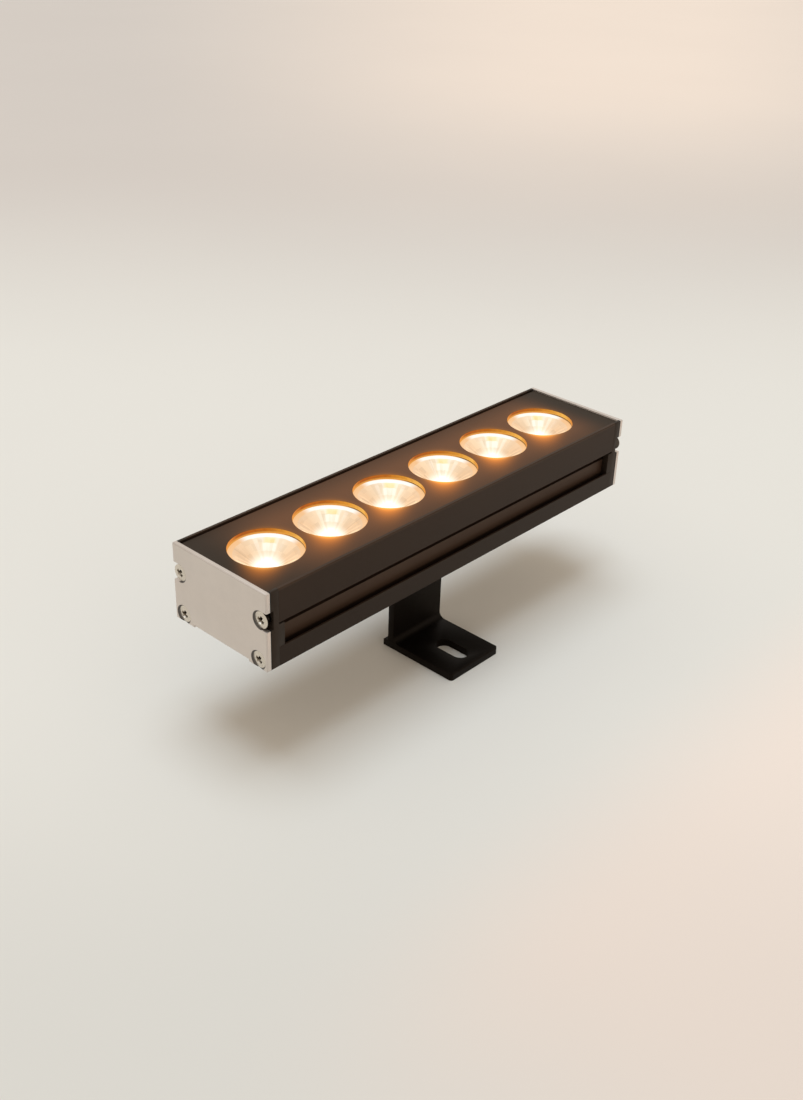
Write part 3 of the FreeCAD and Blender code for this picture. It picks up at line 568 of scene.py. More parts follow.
class LensPlace:
    """The place, in a material, relative to the nearest lens of a row."""

    front: Span = (-0.742, -0.670)
    side: Span = (0.670, -0.742)

    def __init__(self, shader: Shader, row: LensRow, neighbour: int = 0) -> None:
        """Work out the offsets, in millimetres.

        Args:
            shader: the material that needs them.
            row: where the lenses stand.
            neighbour: 0 for the nearest lens, 1 for the one after it along X.
        """
        self.shader, self.row = shader, row
        self.along, self.y, self.height = (
            shader.times(axis, PER_METRE) for axis in shader.axes())
        steps = shader.sum("DIVIDE", shader.sum("SUBTRACT", self.along, row.first), row.pitch)
        nearest = shader.sum("MINIMUM", shader.sum(
            "MAXIMUM", shader.sum("ROUND", steps), 0.0), row.count - 1.0)
        self.number = shader.sum("ADD", nearest, float(neighbour))
        self.exists = shader.sum("LESS_THAN", self.number, row.count - 0.5)
        self.x = shader.sum("SUBTRACT", self.along, shader.sum(
            "ADD", shader.times(self.number, row.pitch), row.first))
        self.reach = shader.reach(self.x, self.y)
        self.ahead = shader.along(self.x, self.y, self.front)
        self.aside = shader.along(self.x, self.y, self.side)

    def inside(self, margin: float) -> Socket:
        """Return 1 inside the opening made that much larger, and 0 outside it."""
        return self.shader.sum("LESS_THAN", self.reach, self.row.opening + margin)

    def light(self, glow: Glow, power: Socket) -> Socket:
        """Lay a glow that falls off with the distance to the opening and to its middle line.

        Args:
            glow: its colour and size.
            power: a factor on it.

        Returns:
            The light's colour.
        """
        shader = self.shader
        past = shader.sum("MAXIMUM", shader.sum(
            "SUBTRACT", self.reach, self.row.opening), 0.0)
        fade = shader.sum("POWER", FALL, shader.sum("DIVIDE", past, glow.length))
        off = shader.sum("DIVIDE", self.aside, glow.width)
        beam = shader.sum("POWER", FALL, shader.times(off, off))
        return shader.scaled(glow.colour, shader.times(fade, beam, power))


@dataclass(frozen=True)
class LitCover(AnodisedExtrusion):
    """The cover's anodising, warmed by the light that spills round each opening."""

    row: LensRow = LensRow()
    wide: Glow = Glow((1.0, 0.285, 0.02), 5.5, 7.0)
    core: Glow = Glow((0.7, 0.5, 0.12), 0.9, 6.5)
    rear: Glow = Glow((0.15, 0.05, 0.0), 1.3, 13.0)
    ahead: Span = (2.0, 13.0)
    behind: Span = (-2.0, -12.0)
    power_along: Span = (-100.0, -50.0)
    powers: Span = (0.75, 1.2)
    # painted light: a warm glow over the middle of the cover, fading towards its ends and long
    # edges
    haze: Colour = (0.118, 0.042, 0.014)
    haze_near: Span = (-121.0, -78.0)
    haze_far: Span = (119.0, 95.0)
    haze_across: Span = (12.0, 29.0)
    haze_edge: float = 0.45
    wall_side: tuple[Stop, ...] = (
        (0.0, srgb(236, 146, 58)), (0.1, srgb(176, 84, 2)), (0.45, srgb(186, 100, 4)),
        (0.72, srgb(226, 150, 44)), (0.92, srgb(250, 186, 84)), (1.0, srgb(222, 136, 50)))
    wall_foot: Colour = srgb(246, 190, 92)
    wall_heights: Span = (88.9, 88.2)

    def wall(self, place: LensPlace) -> Socket:
        """Return the golden light on the wall of an opening, darkest at the rear left.

        Args:
            place: the place relative to the nearest lens.

        Returns:
            The colour that the wall glows in.
        """
        shader = place.shader
        turn = shader.sum("DIVIDE", place.aside, place.reach)
        lit = shader.ramp(shader.spread_from(turn, -1.0, 1.0), self.wall_side)
        grain = shader.spread(shader.noise(620, 3), 0.62, 1.25)
        low = shader.rise(place.height, *self.wall_heights)
        return shader.blend(shader.times(low, 0.4), shader.scaled(lit, grain), self.wall_foot)

    def beam(self, place: LensPlace) -> Socket:
        """Return the light that a lens throws on the cover in front of it.

        Args:
            place: the place relative to that lens.

        Returns:
            The colour of the light.
        """
        shader = place.shader
        power = shader.times(place.exists, shader.spread(
            shader.rise(place.along, *self.power_along), *self.powers))
        ahead = shader.times(shader.rise(place.ahead, *self.ahead), power)
        return shader.added(place.light(self.wide, ahead), place.light(self.core, ahead))

    def paint(self, shader: Shader) -> None:
        """Lay the anodising, then the light on it and in the openings.

        Args:
            shader: the material.
        """
        super().paint(shader)
        place = LensPlace(shader, self.row)
        across = shader.sum("ABSOLUTE", place.y)
        # painted light: the warm glow haze is strongest over the middle of the cover
        haze = shader.times(
            shader.rise(place.along, *self.haze_near), shader.rise(place.along, *self.haze_far),
            shader.spread(shader.rise(across, *self.haze_across), 1.0, self.haze_edge))
        glow = shader.added(
            self.beam(place), self.beam(LensPlace(shader, self.row, 1)),
            place.light(self.rear, shader.rise(place.ahead, *self.behind)),
            shader.scaled(self.haze, haze))
        shader.feed("Emission Color", shader.blend(place.inside(0.1), glow, self.wall(place)))
        shader.value("Emission Strength", 1.0)


@dataclass(frozen=True)
class GlowingLens(Finish):
    """Clear acrylic lit from behind: white over the emitter, peach on the faceted wall."""

    row: LensRow = LensRow()
    facets: int = 22
    ring_step: float = 3.1
    side_tones: tuple[Stop, ...] = (
        (0.0, srgb(252, 237, 206)), (0.45, srgb(252, 226, 192)),
        (0.78, srgb(247, 212, 172)), (1.0, srgb(240, 200, 158)))
    patches: tuple[tuple[float, float, float, Colour], ...] = (
        (12.0, 14.4, 2.2, srgb(247, 222, 142)), (8.8, 11.9, 2.8, srgb(254, 247, 224)))
    core: Span = (8.8, 3.6)
    core_colour: Colour = srgb(255, 252, 238)
    strengths: Span = (0.98, 1.25)
    rim: Span = (14.3, 14.9)
    rim_colour: Colour = srgb(243, 193, 140)
    rim_light: Colour = srgb(255, 253, 244)

    def facet_tone(self, place: LensPlace) -> Socket:
        """Return how bright each facet is, with the dark lines between some of them.

        Args:
            place: the place relative to the lens.

        Returns:
            A factor round 1.
        """
        shader = place.shader
        turn = shader.times(shader.sum("ADD", shader.sum(
            "ARCTAN2", place.y, place.x), math.pi), self.facets / math.tau)
        step = shader.sum("FLOOR", turn)
        ring = shader.sum("FLOOR", shader.times(place.reach, 1 / self.ring_step))
        cell = shader.node("CombineXYZ", X=step, Y=ring, Z=place.number)
        toss = shader.node("TexWhiteNoise", Vector=cell.outputs[0]).outputs["Value"]
        spot = shader.node("CombineXYZ", X=shader.times(turn, 1.6),
                           Y=shader.times(place.number, 7.0))
        line = shader.node("TexNoise", Vector=spot.outputs[0], Scale=1.0, Detail=2.0)
        dark = shader.spread(shader.rise(line.outputs[0], 0.40, 0.30), 1.0, 0.86)
        return shader.times(shader.spread(toss, 0.9, 1.06), dark)

    def paint(self, shader: Shader) -> None:
        """Lay the glow of the wall, the reflected patches, the core and the rim.

        Args:
            shader: the material.
        """
        place = LensPlace(shader, self.row)
        off = shader.sum("ABSOLUTE", place.aside)
        side = shader.sum("DIVIDE", off, place.reach)
        behind = shader.rise(place.ahead, 1.0, -3.0)
        wall = shader.scaled(shader.ramp(side, self.side_tones), self.facet_tone(place))
        for inner, outer, width, colour in self.patches:
            patch = shader.times(
                shader.rise(place.reach, inner - 0.3, inner + 0.3), behind,
                shader.rise(place.reach, outer + 0.3, outer - 0.3),
                shader.rise(off, width + 1.2, width - 0.6))
            wall = shader.blend(shader.times(patch, 0.8), wall, colour)
        core = shader.rise(place.reach, *self.core)
        lit = shader.blend(core, wall, self.core_colour)
        white = shader.times(behind, shader.rise(side, 0.86, 0.6))
        edge = shader.blend(white, self.rim_colour, self.rim_light)
        rim = shader.rise(place.reach, *self.rim)
        shader.feed("Emission Color", shader.blend(rim, lit, edge))
        shader.feed("Emission Strength", shader.spread(core, *self.strengths))
        shader.value("Base Color", self.colour)
        shader.relief(shader.noise(420, 3, 0.6), 0.03)


@dataclass(frozen=True)
class MouldedPlastic(Finish):
    """Moulded plastic or rubber with the fine spark texture of its tool."""

    texture_scale: float = 3200.0
    texture_depth_mm: float = 0.02
    cloud_scale: float = 90.0
    spread: float = 0.18

    def paint(self, shader: Shader) -> None:
        """Lay the cloudy colour and the spark texture.

        Args:
            shader: the material.
        """
        fine = shader.noise(self.texture_scale, 2, 0.6)
        cloud = shader.noise(self.cloud_scale, 3, 0.5)
        shader.feed("Base Color", self.tone(shader, cloud, self.spread))
        self.grind(shader, fine, 0.08, 0.08)
        shader.relief(fine, self.texture_depth_mm)


@dataclass(frozen=True)
class LitGasket(MouldedPlastic):
    """Gasket rubber, lit where its cut edge shows inside an opening."""

    row: LensRow = LensRow()
    glow: Colour = srgb(226, 150, 56)
    shaded: Span = (4.0, 11.0)

    def paint(self, shader: Shader) -> None:
        """Lay the rubber, then the light on its cut edges.

        Args:
            shader: the material.
        """
        super().paint(shader)
        place = LensPlace(shader, self.row)
        edge = shader.times(place.inside(0.4), shader.spread(
            shader.rise(place.aside, *self.shaded), 1.0, 0.3))
        shader.feed("Emission Color", shader.scaled(self.glow, edge))
        shader.value("Emission Strength", 1.0)


@dataclass(frozen=True)
class PowderCoat(Finish):
    """Fine powder coat: a soft orange peel over a faintly cloudy colour."""

    peel_scale: float = 1500.0
    peel_depth_mm: float = 0.03
    cloud_scale: float = 60.0
    spread: float = 0.25

    def paint(self, shader: Shader) -> None:
        """Lay the cloudy colour and the orange peel.

        Args:
            shader: the material.
        """
        peel = shader.noise(self.peel_scale, 2, 0.5)
        cloud = shader.noise(self.cloud_scale, 3, 0.5)
        shader.feed("Base Color", self.tone(shader, cloud, self.spread))
        self.grind(shader, peel, 0.1, 0.1)
        shader.relief(peel, self.peel_depth_mm)


@dataclass(frozen=True)
class BlastedSheet(Finish):
    """Bright sheet metal with a fine bead-blasted face, with painted shade in the seats of its
    screws.
    """

    grain_scale: float = 2400.0
    grain_depth_mm: float = 0.012
    mottle_scale: float = 150.0
    cloud_scale: float = 24.0
    spread: float = 0.06
    edge_share: float = 0.62
    seats: tuple[Span, ...] = ()
    seat_radius: float = 4.55
    seat_share: float = 0.16

    def paint(self, shader: Shader) -> None:
        """Lay the mottled metal, its duller edges, the painted shade in its seats and its grain.

        Args:
            shader: the material.
        """
        grain = shader.noise(self.grain_scale, 3, 0.7)
        mottle = shader.noise(self.mottle_scale, 4, 0.6)
        cloud = shader.noise(self.cloud_scale, 2, 0.5)
        share = shader.spread(shader.attribute("edge"), 1.0, self.edge_share)
        _, across, height = (shader.times(axis, PER_METRE) for axis in shader.axes())
        # painted shade: each countersunk seat round a screw head is darkened
        for y, z in self.seats:
            reach = shader.reach(
                shader.sum("SUBTRACT", shader.sum("ABSOLUTE", across), y),
                shader.sum("SUBTRACT", height, z))
            share = shader.times(share, shader.spread(shader.rise(
                reach, self.seat_radius - 0.1, self.seat_radius + 0.05), self.seat_share, 1.0))
        tone = self.tone(shader, shader.along(mottle, cloud, (0.5, 0.5)), self.spread)
        shader.feed("Base Color", shader.scaled(tone, share))
        self.grind(shader, mottle, 0.06, 0.08)
        shader.relief(grain, self.grain_depth_mm)


@dataclass(frozen=True)
class ScrewSteel(Finish):
    """Turned steel, with painted shade down in the recess of the head and round its edge."""

    grain_scale: float = 1800.0
    grain_depth_mm: float = 0.008
    dirt: Colour = srgb(34, 26, 18)

    def paint(self, shader: Shader) -> None:
        """Lay the steel, darkened by painted shade where the attribute "recess" is high.

        Args:
            shader: the material.
        """
        grain = shader.noise(self.grain_scale, 3, 0.6)
        # painted shade: the recess attribute blends the steel towards a dark brown
        shader.feed("Base Color", shader.blend(
            shader.attribute("recess"), self.tone(shader, grain, 0.10), self.dirt))
        self.grind(shader, grain, 0.05, 0.1)
        shader.relief(grain, self.grain_depth_mm)


@dataclass(frozen=True)
class CircuitBoard(Finish):
    """A board's solder mask, with a faint weave and lighter tracks."""

    track: Colour = (0.1, 0.3, 0.18)
    weave_scale: float = 180.0
    cloud_scale: float = 120.0

    def paint(self, shader: Shader) -> None:
        """Lay the weave of tracks under a cloudy mask.

        Args:
            shader: the material.
        """
        mask = (*self.colour, 1.0)
        weave = shader.node("TexBrick", Vector=shader.place, Scale=self.weave_scale,
                            Color1=mask, Color2=mask, Mortar=(*self.track, 1.0))
        cloud = shader.noise(self.cloud_scale, 3)
        shader.feed("Base Color", shader.blend(
            shader.spread(cloud, 0.1, 0.5), self.colour, weave.outputs["Color"]))
        shader.relief(cloud, 0.01)


@dataclass(frozen=True)
class StudioFloor(Finish):
    """The pale studio sweep: warm grey, with painted shade that makes it duller far away and on
    the near side, and painted peach light in front and far right.
    """

    dull: Colour = srgb(213, 204, 195)
    peach: Colour = srgb(244, 229, 216)
    far_peach: Colour = srgb(243, 226, 210)
    away: Span = (0.742, 0.670)
    right: Span = (0.670, -0.742)
    dull_away: Span = (0.24, 0.95)
    peach_away: Span = (0.55, 1.6)
    peach_from: Span = (-0.24, 0.12)
    peach_to: Span = (0.18, 0.36)
    peach_x: Span = (-0.27, -0.10)
    peach_y: Span = (-0.108, -0.19)
    dim_away: Span = (-0.05, -0.27)
    dim_share: float = 0.89

    def paint(self, shader: Shader) -> None:
        """Lay the sweep's colours over each other: painted shade far away, painted peach light
        far right and in front, painted shade on the near side.

        Args:
            shader: the material.
        """
        x, y, _ = shader.axes()
        away = shader.along(x, y, self.away)
        right = shader.along(x, y, self.right)
        angle = shader.sum("DIVIDE", right, shader.sum("ADD", away, 0.6))
        mottle = shader.spread(shader.noise(3.0, 3), 0.98, 1.02)
        # painted shade: the sweep darkens far away
        base = shader.blend(shader.rise(away, *self.dull_away), self.colour, self.dull)
        # painted light: a warm wash far to the right
        glow = shader.times(
            shader.rise(away, *self.peach_away), shader.rise(angle, *self.peach_from),
            shader.spread(shader.rise(angle, *self.peach_to), 1.0, 0.55))
        base = shader.blend(glow, base, self.far_peach)
        # painted light: a warm wash in front
        front = shader.times(shader.rise(y, *self.peach_y), shader.rise(x, *self.peach_x))
        base = shader.blend(front, base, self.peach)
        # painted shade: darker on the near side
        dim = shader.spread(shader.rise(away, *self.dim_away), 1.0, self.dim_share)
        shader.feed("Base Color", shader.scaled(base, shader.times(dim, mottle)))


class Palette:
    """Every finish of the light, each built once and handed out by its record slot."""

    def __init__(self, row: LensRow) -> None:
        """List the finishes.

        Args:
            row: where the lenses stand, for the finishes that they light.
        """
        warm = (1.0, 0.76, 0.58)
        finishes = (
            AnodisedExtrusion(
                "bronze_extrusion", (0.026, 0.0145, 0.009), 0.48, 0.1, 0.25, warm, tones=(
                    # painted light and shade by height: darker lower band, lighter side channel,
                    # darker upper band, lighter top
                    (50.0, 0.5), (62.2, 0.5), (63.2, 1.9), (73.8, 1.7), (75.4, 0.7),
                    (89.8, 0.8), (90.5, 1.5))),
            LitCover("cover_bronze", (0.030, 0.020, 0.013), 0.6, 0.0, 0.18,
                     (1.0, 0.82, 0.66), row=row),
            PowderCoat("bracket_black", (0.003, 0.002, 0.0013), 0.5, 0.0, 0.11, warm),
            MouldedPlastic("cap_black", (0.017, 0.0115, 0.008), 0.5, 0.0, 0.28, warm),
            LitGasket("gasket_black", srgb(16, 14, 12), 0.75, 0.0, 0.3, row=row),
            BlastedSheet("end_plate_metal", srgb(214, 204, 196), 0.36, 0.85,
                         seats=((26.1, 77.2), (24.4, 56.9))),
            ScrewSteel("screw_steel", srgb(214, 205, 192), 0.26, 1.0),
            ScrewSteel("grub_screw_steel", srgb(60, 58, 56), 0.35, 1.0),
            GlowingLens("lens_clear", srgb(40, 32, 24), 0.2, 0.0, 0.4, row=row),
            CircuitBoard("led_board_white", srgb(232, 230, 222), 0.4,
                         track=srgb(205, 204, 196)),
            MouldedPlastic("emitter_warm", srgb(246, 214, 130), 0.3),
            MouldedPlastic("thermal_pad_grey", srgb(150, 152, 156), 0.8),
            CircuitBoard("driver_board_green", srgb(38, 92, 60), 0.35),
            MouldedPlastic("choke_ferrite", srgb(60, 60, 64), 0.55),
            BlastedSheet("capacitor_can", srgb(196, 198, 202), 0.3, 1.0),
            MouldedPlastic("chip_black", srgb(30, 30, 30), 0.5),
            MouldedPlastic("terminal_green", srgb(62, 132, 78), 0.45),
            MouldedPlastic("header_black", srgb(32, 32, 33), 0.5),
            MouldedPlastic("gland_black", srgb(32, 30, 28), 0.42),
            MouldedPlastic("seal_grey", srgb(96, 95, 94), 0.7))
        self.finishes = {finish.name: finish for finish in finishes}
        self.made: dict[str, Material] = {}

    def material(self, slot: str) -> Material:
        """Hand out a material, built on first use.

        Args:
            slot: the record slot that it belongs to.

        Returns:
            The material.
        """
        if slot not in self.made:
            self.made[slot] = self.finishes[slot].make()
        return self.made[slot]


# ------------------------------------------------------------------------------ meshes

def as_mesh(work: bmesh.types.BMesh, name: str) -> Mesh:
    """Write mesh work into a new mesh.

    Args:
        work: the work, which ends here.
        name: the mesh's name.

    Returns:
        The mesh.
    """
    mesh = bpy.data.meshes.new(name)
    work.to_mesh(mesh)
    work.free()
    return mesh


def lathe(name: str, profile: Sequence[Span], steps: int) -> Mesh:
    """Turn a profile of (along, radius) pairs, in millimetres, round the X axis.

    Args:
        name: the mesh's name.
        profile: the half outline, from axis to axis.
        steps: how many sides the turned shape has.

    Returns:
        The closed mesh.
    """
    work = bmesh.new()
    columns = []
    for number in range(steps):
        angle = math.tau * number / steps
        columns.append([work.verts.new((
            x * MM, r * MM * math.cos(angle), r * MM * math.sin(angle))) for x, r in profile])
    for number, column in enumerate(columns):
        after = columns[(number + 1) % steps]
        for row in range(len(profile) - 1):
            work.faces.new((column[row], after[row], after[row + 1], column[row + 1]))
    mesh = as_mesh(work, name)
    tidy(mesh)
    return mesh


def softened(node: str, name: str, width_mm: float, segments: int = 2) -> Object:
    """Copy a CAD node's mesh and round its hard edges, which get the attribute "edge".

    Args:
        node: the CAD node to copy.
        name: the new piece's name.
        width_mm: the width of the rounding.
        segments: how many strips each rounding has.

    Returns:
        The rounded copy, as a plain mesh object.
    """
    mesh = frame["nodes"][node].data.copy()
    mesh.materials.clear()
    work = bmesh.new()
    work.from_mesh(mesh)
    bmesh.ops.remove_doubles(work, verts=work.verts, dist=0.002 * MM)
    bmesh.ops.dissolve_limit(work, angle_limit=math.radians(0.6), verts=work.verts,
                             edges=work.edges, use_dissolve_boundaries=False)
    work.to_mesh(mesh)
    work.free()
    host = stand(name, mesh)
    bevel = host.modifiers.new("Rounding", "BEVEL")
    bevel.width = width_mm * MM
    bevel.segments = segments
    bevel.limit_method = "ANGLE"
    bevel.angle_limit = math.radians(35)
    bevel.use_clamp_overlap = True
    bevel.material = 1
    mesh.materials.append(None)
    mesh.materials.append(None)
    made = settle(host, name)
    strips = [face.material_index for face in made.data.polygons]
    made.data.materials.clear()
    made.data.attributes.new("edge", "FLOAT", "FACE").data.foreach_set("value", strips)
    made.data.polygons.foreach_set("material_index", [0] * len(strips))
    made.data.polygons.foreach_set("use_smooth", [True] * len(made.data.polygons))
    made.data.set_sharp_from_angle(angle=math.radians(40))
    return made


def dress(piece: Object, body: Body, slot: str, palette: Palette,
          replaces: Sequence[str] = ()) -> None:
    """Give a piece its body and its finish, and hide the CAD nodes that it stands for.

    Args:
        piece: the piece.
        body: the body that it rides on.
        slot: the record slot that its finish comes from.
        palette: the finishes.
        replaces: the CAD nodes.
    """
    if not piece.data.materials:
        piece.data.materials.append(palette.material(slot))
    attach(piece, body.value)
    if replaces:
        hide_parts(*replaces)
    log.info("%s: %d faces on %s", piece.name, len(piece.data.polygons), body.value)


# ------------------------------------------------------------------------------ the light

@dataclass
class LensSet:
    """Six faceted lenses, each with a conical well under its opening."""

    row: LensRow = field(default_factory=LensRow)
    base: float = 73.0
    height: float = 14.6
    facets: int = 22
    scallop: float = 0.28
    finish: str = "lens_clear"

    def sector(self) -> Object:
        """Make one sector of a lens: a closed outline swept over the angle of one facet.

        Returns:
            The sector, round the Z axis.
        """
        row, top = self.row, self.height
        profile = (
            (0.0, 3.2, 0), (3.2, 3.2, 0), (3.2, 0.0, 0), (6.5, 0.0, 0), (6.5, 2.0, 0),
            (12.25, 6.9, 0), (row.flange - 1.4, top - 1.6, 0), (row.flange, top - 1.6, 0),
            (row.flange, top, 0), (row.well + 0.25, top, 0), (row.well, top - 0.12, 0),
            (13.6, top - 1.15, 0.7), (11.0, top - 2.85, 1), (8.6, top - 4.5, 1),
            (6.4, top - 6.0, 0.6), (row.well_floor, top - row.well_depth, 0),
            (2.2, top - row.well_depth + 0.2, 0), (0.0, top - row.well_depth + 0.4, 0))
        work = bmesh.new()
        steps = 4
        angle = math.tau / self.facets
        columns = []
        for number in range(steps + 1):
            turn = angle * (number / steps - 0.5)
            lift = self.scallop * (1 - abs(2 * number / steps - 1))
            columns.append([work.verts.new((
                r * MM * math.cos(turn), r * MM * math.sin(turn),
                (self.base + z + lift * share) * MM)) for r, z, share in profile])
        for left, right in zip(columns, columns[1:]):
            for low in range(len(profile) - 1):
                work.faces.new((left[low], right[low], right[low + 1], left[low + 1]))
        return stand("lens_sector", as_mesh(work, "lens_sector"))

    @staticmethod
    def ring_tree() -> PieceTree:
        """Build the tree that repeats a sector in a ring and moves it to its place.

        Returns:
            The tree, with inputs Count, Centre, Weld and Finish.
        """
        tree = PieceTree("sectors_in_a_ring")
        count = tree.add_input("Count", "Int")
        centre = tree.add_input("Centre", "Vector")
        weld = tree.add_input("Weld", "Float")
        finish = tree.add_input("Finish", "Material")
        points = tree.node("GeometryNodePoints", Count=count)
        number = tree.node("GeometryNodeInputIndex")
        step = tree.node("ShaderNodeMath", in0=math.tau, in1=count)
        step.operation = "DIVIDE"
        turn = tree.node("ShaderNodeMath", in0=number.outputs[0], in1=step.outputs[0])
        turn.operation = "MULTIPLY"
        facing = tree.node("ShaderNodeCombineXYZ", Z=turn.outputs[0])
        ring = tree.node(
            "GeometryNodeInstanceOnPoints", Points=points.outputs[0],
            Instance=tree.inlet.outputs[0], Rotation=facing.outputs[0])
        solid = tree.node("GeometryNodeRealizeInstances", Geometry=ring.outputs[0])
        merged = tree.node("GeometryNodeMergeByDistance", Geometry=solid.outputs[0],
                           Distance=weld)
        moved = tree.node("GeometryNodeSetPosition", Geometry=merged.outputs[0], Offset=centre)
        tree.finish(moved.outputs[0], finish)
        return tree

    def build(self, palette: Palette) -> None:
        """Make the lenses and put each in place of its node.

        Args:
            palette: the finishes.
        """
        tree = self.ring_tree()
        for number, centre in enumerate(self.row.centres, start=1):
            piece = tree.apply(
                self.sector(), f"faceted_lens_{number}", Count=self.facets,
                Centre=(centre * MM, 0.0, 0.0), Weld=0.002 * MM,
                Finish=palette.material(self.finish))
            tidy(piece.data, 0.002, 4.0)
            dress(piece, Body.HEAD, self.finish, palette, [f"lens_{number}"])


@dataclass
class EndScrews:
    """Countersunk screws with a raised head and a cross recess, four at each end."""

    head_radius: float = 3.9
    dome: float = 0.5
    neck_radius: float = 2.0
    core_radius: float = 1.7
    length: float = 16.0
    seat_x: float = 124.3
    seats: tuple[tuple[float, float], ...] = (
        (-26.1, 77.2), (26.1, 77.2), (-24.4, 56.9), (24.4, 56.9))
    neck_end: float = -6.15
    arm: float = 2.15
    arm_width: float = 1.5
    depth: float = 1.9
    finish: str = "screw_steel"

    def template(self) -> Object:
        """Make one screw at the origin, its head towards +X, with its recess cut.

        Returns:
            The screw, with the attribute "recess" where painted shade darkens it: in the cross
            recess, round the edge of the head and below it.
        """
        head, rise = self.head_radius, self.dome
        curve = (head ** 2 + rise ** 2) / (2 * rise)
        crown = [(rise - curve + math.sqrt(curve ** 2 - r ** 2), r)
                 for r in (0.0, 0.8, 1.5, 2.2, 2.8, 3.3, 3.65)]
        profile = crown + [
            (0.04, head - 0.02), (-0.04, head), (-0.12, head - 0.04),
            (self.neck_radius - head, self.neck_radius), (self.neck_end, self.neck_radius),
            (self.neck_end, self.core_radius), (1.2 - self.length, self.core_radius),
            (-self.length, 0.6), (-self.length, 0.0)]
        host = stand("screw", lathe("screw", profile, 48))
        cutters = [self.cutter(turn) for turn in (0.0, math.pi / 2)]
        for cutter in cutters:
            cut = host.modifiers.new("Recess", "BOOLEAN")
            cut.operation = "DIFFERENCE"
            cut.solver = "EXACT"
            cut.object = cutter
        made = settle(host, "screw_template")
        for cutter in cutters:
            bpy.data.objects.remove(cutter)
        tidy(made.data)
        # painted shade kept in the recess attribute: rising to 1 within 0.4 mm below the dome in
        # the cross recess, 0.9 under the edge of the head and down the shank
        sunk = made.data.attributes.new("recess", "FLOAT", "POINT")
        for number, corner in enumerate(made.data.vertices):
            x, y, z = (axis / MM for axis in corner.co)
            surface = rise - curve + math.sqrt(max(0.0, curve ** 2 - y * y - z * z))
            if x > -1.2 and math.hypot(y, z) < 2.9:
                sunk.data[number].value = min(1.0, (surface - x) / 0.4)
            else:
                sunk.data[number].value = 0.9 if x < -0.1 else 0.0
        return made

    def cutter(self, turn: float) -> Object:
        """Make the tapered blade that cuts one pair of arms of the recess.

        Args:
            turn: the angle of the blade round X.

        Returns:
            The blade.
        """
        work = bmesh.new()
        bmesh.ops.create_cube(work, size=1.0)
        for corner in work.verts:
            top = corner.co.x > 0
            half = self.arm * (1.04 if top else 0.5)
            width = self.arm_width / 2 * (1.05 if top else 0.7)
            corner.co = Vector((
                (self.dome + 0.4 if top else self.dome - self.depth) * MM,
                math.copysign(half, corner.co.y) * MM,
                math.copysign(width, corner.co.z) * MM))
        bmesh.ops.rotate(work, verts=work.verts, matrix=Matrix.Rotation(turn, 3, "X"))
        return stand("recess_blade", as_mesh(work, "recess_blade"))

    @staticmethod
    def set_tree() -> PieceTree:
        """Build the tree that puts a screw on each seat, each turned by chance.

        Returns:
            The tree, with inputs Screw, Facing, Spread, Seed and Finish.
        """
        tree = PieceTree("screws_on_seats")
        screw = tree.add_input("Screw", "Object")
        facing = tree.add_input("Facing", "Float")
        spread = tree.add_input("Spread", "Float")
        seed = tree.add_input("Seed", "Int")
        finish = tree.add_input("Finish", "Material")
        shape = tree.node("GeometryNodeObjectInfo", Object=screw)
        chance = tree.node("FunctionNodeRandomValue", Seed=seed)
        chance.data_type = "FLOAT"
        ends = [item for item in chance.inputs if item.type == "VALUE"]
        ends[0].default_value = 0.0
        tree.tree.links.new(spread, ends[1])
        turn = next(item for item in chance.outputs if item.type == "VALUE")
        facing_turn = tree.node("ShaderNodeCombineXYZ", X=turn, Z=facing)
        placed = tree.node(
            "GeometryNodeInstanceOnPoints", Points=tree.inlet.outputs[0],
            Instance=shape.outputs["Geometry"], Rotation=facing_turn.outputs[0])
        tree.finish(placed.outputs[0], finish)
        return tree

    def build(self, palette: Palette) -> None:
        """Make both sets of screws and put them in place of their nodes.

        Args:
            palette: the finishes.
        """
        tree = self.set_tree()
        template = self.template()
        for end in End:
            seats = bpy.data.meshes.new("seats")
            seats.from_pydata([(end.value * self.seat_x * MM, y * MM, z * MM)
                               for y, z in self.seats], [], [])
            piece = tree.apply(
                stand("seats", seats), f"cross_screws_{end.mark}", Screw=template,
                Facing=0.0 if end is End.FAR else math.pi, Spread=1.3, Seed=4 + end.value,
                Finish=palette.material(self.finish))
            piece.data.set_sharp_from_angle(angle=math.radians(30))
            dress(piece, Body.HEAD, self.finish, palette, [f"end_screws_{end.mark}"])
        bpy.data.objects.remove(template)


@dataclass
class FootBracket:
    """The bent bracket, with the softened edges that its coating leaves."""

    rounding: float = 0.35
    finish: str = "bracket_black"

    def build(self, palette: Palette) -> None:
        """Make the rounded copy and put it in place of its node."""
        piece = softened("foot_bracket", "coated_bracket", self.rounding, 3)
        dress(piece, Body.BRACKET, self.finish, palette, ["foot_bracket"])


@dataclass
class CableGland:
    """The moulded gland in the far end: its body and its nut, with their hexagons rounded; its
    seal is not made here.
    """

    rounding: float = 0.3
    finish: str = "gland_black"

    def build(self, palette: Palette) -> None:
        """Make the rounded copies and put them in place of their nodes.

        Args:
            palette: the finishes.
        """
        for node in ("gland_body", "gland_nut"):
            piece = softened(node, f"moulded_{node}", self.rounding)
            dress(piece, Body.HEAD, self.finish, palette, [node])


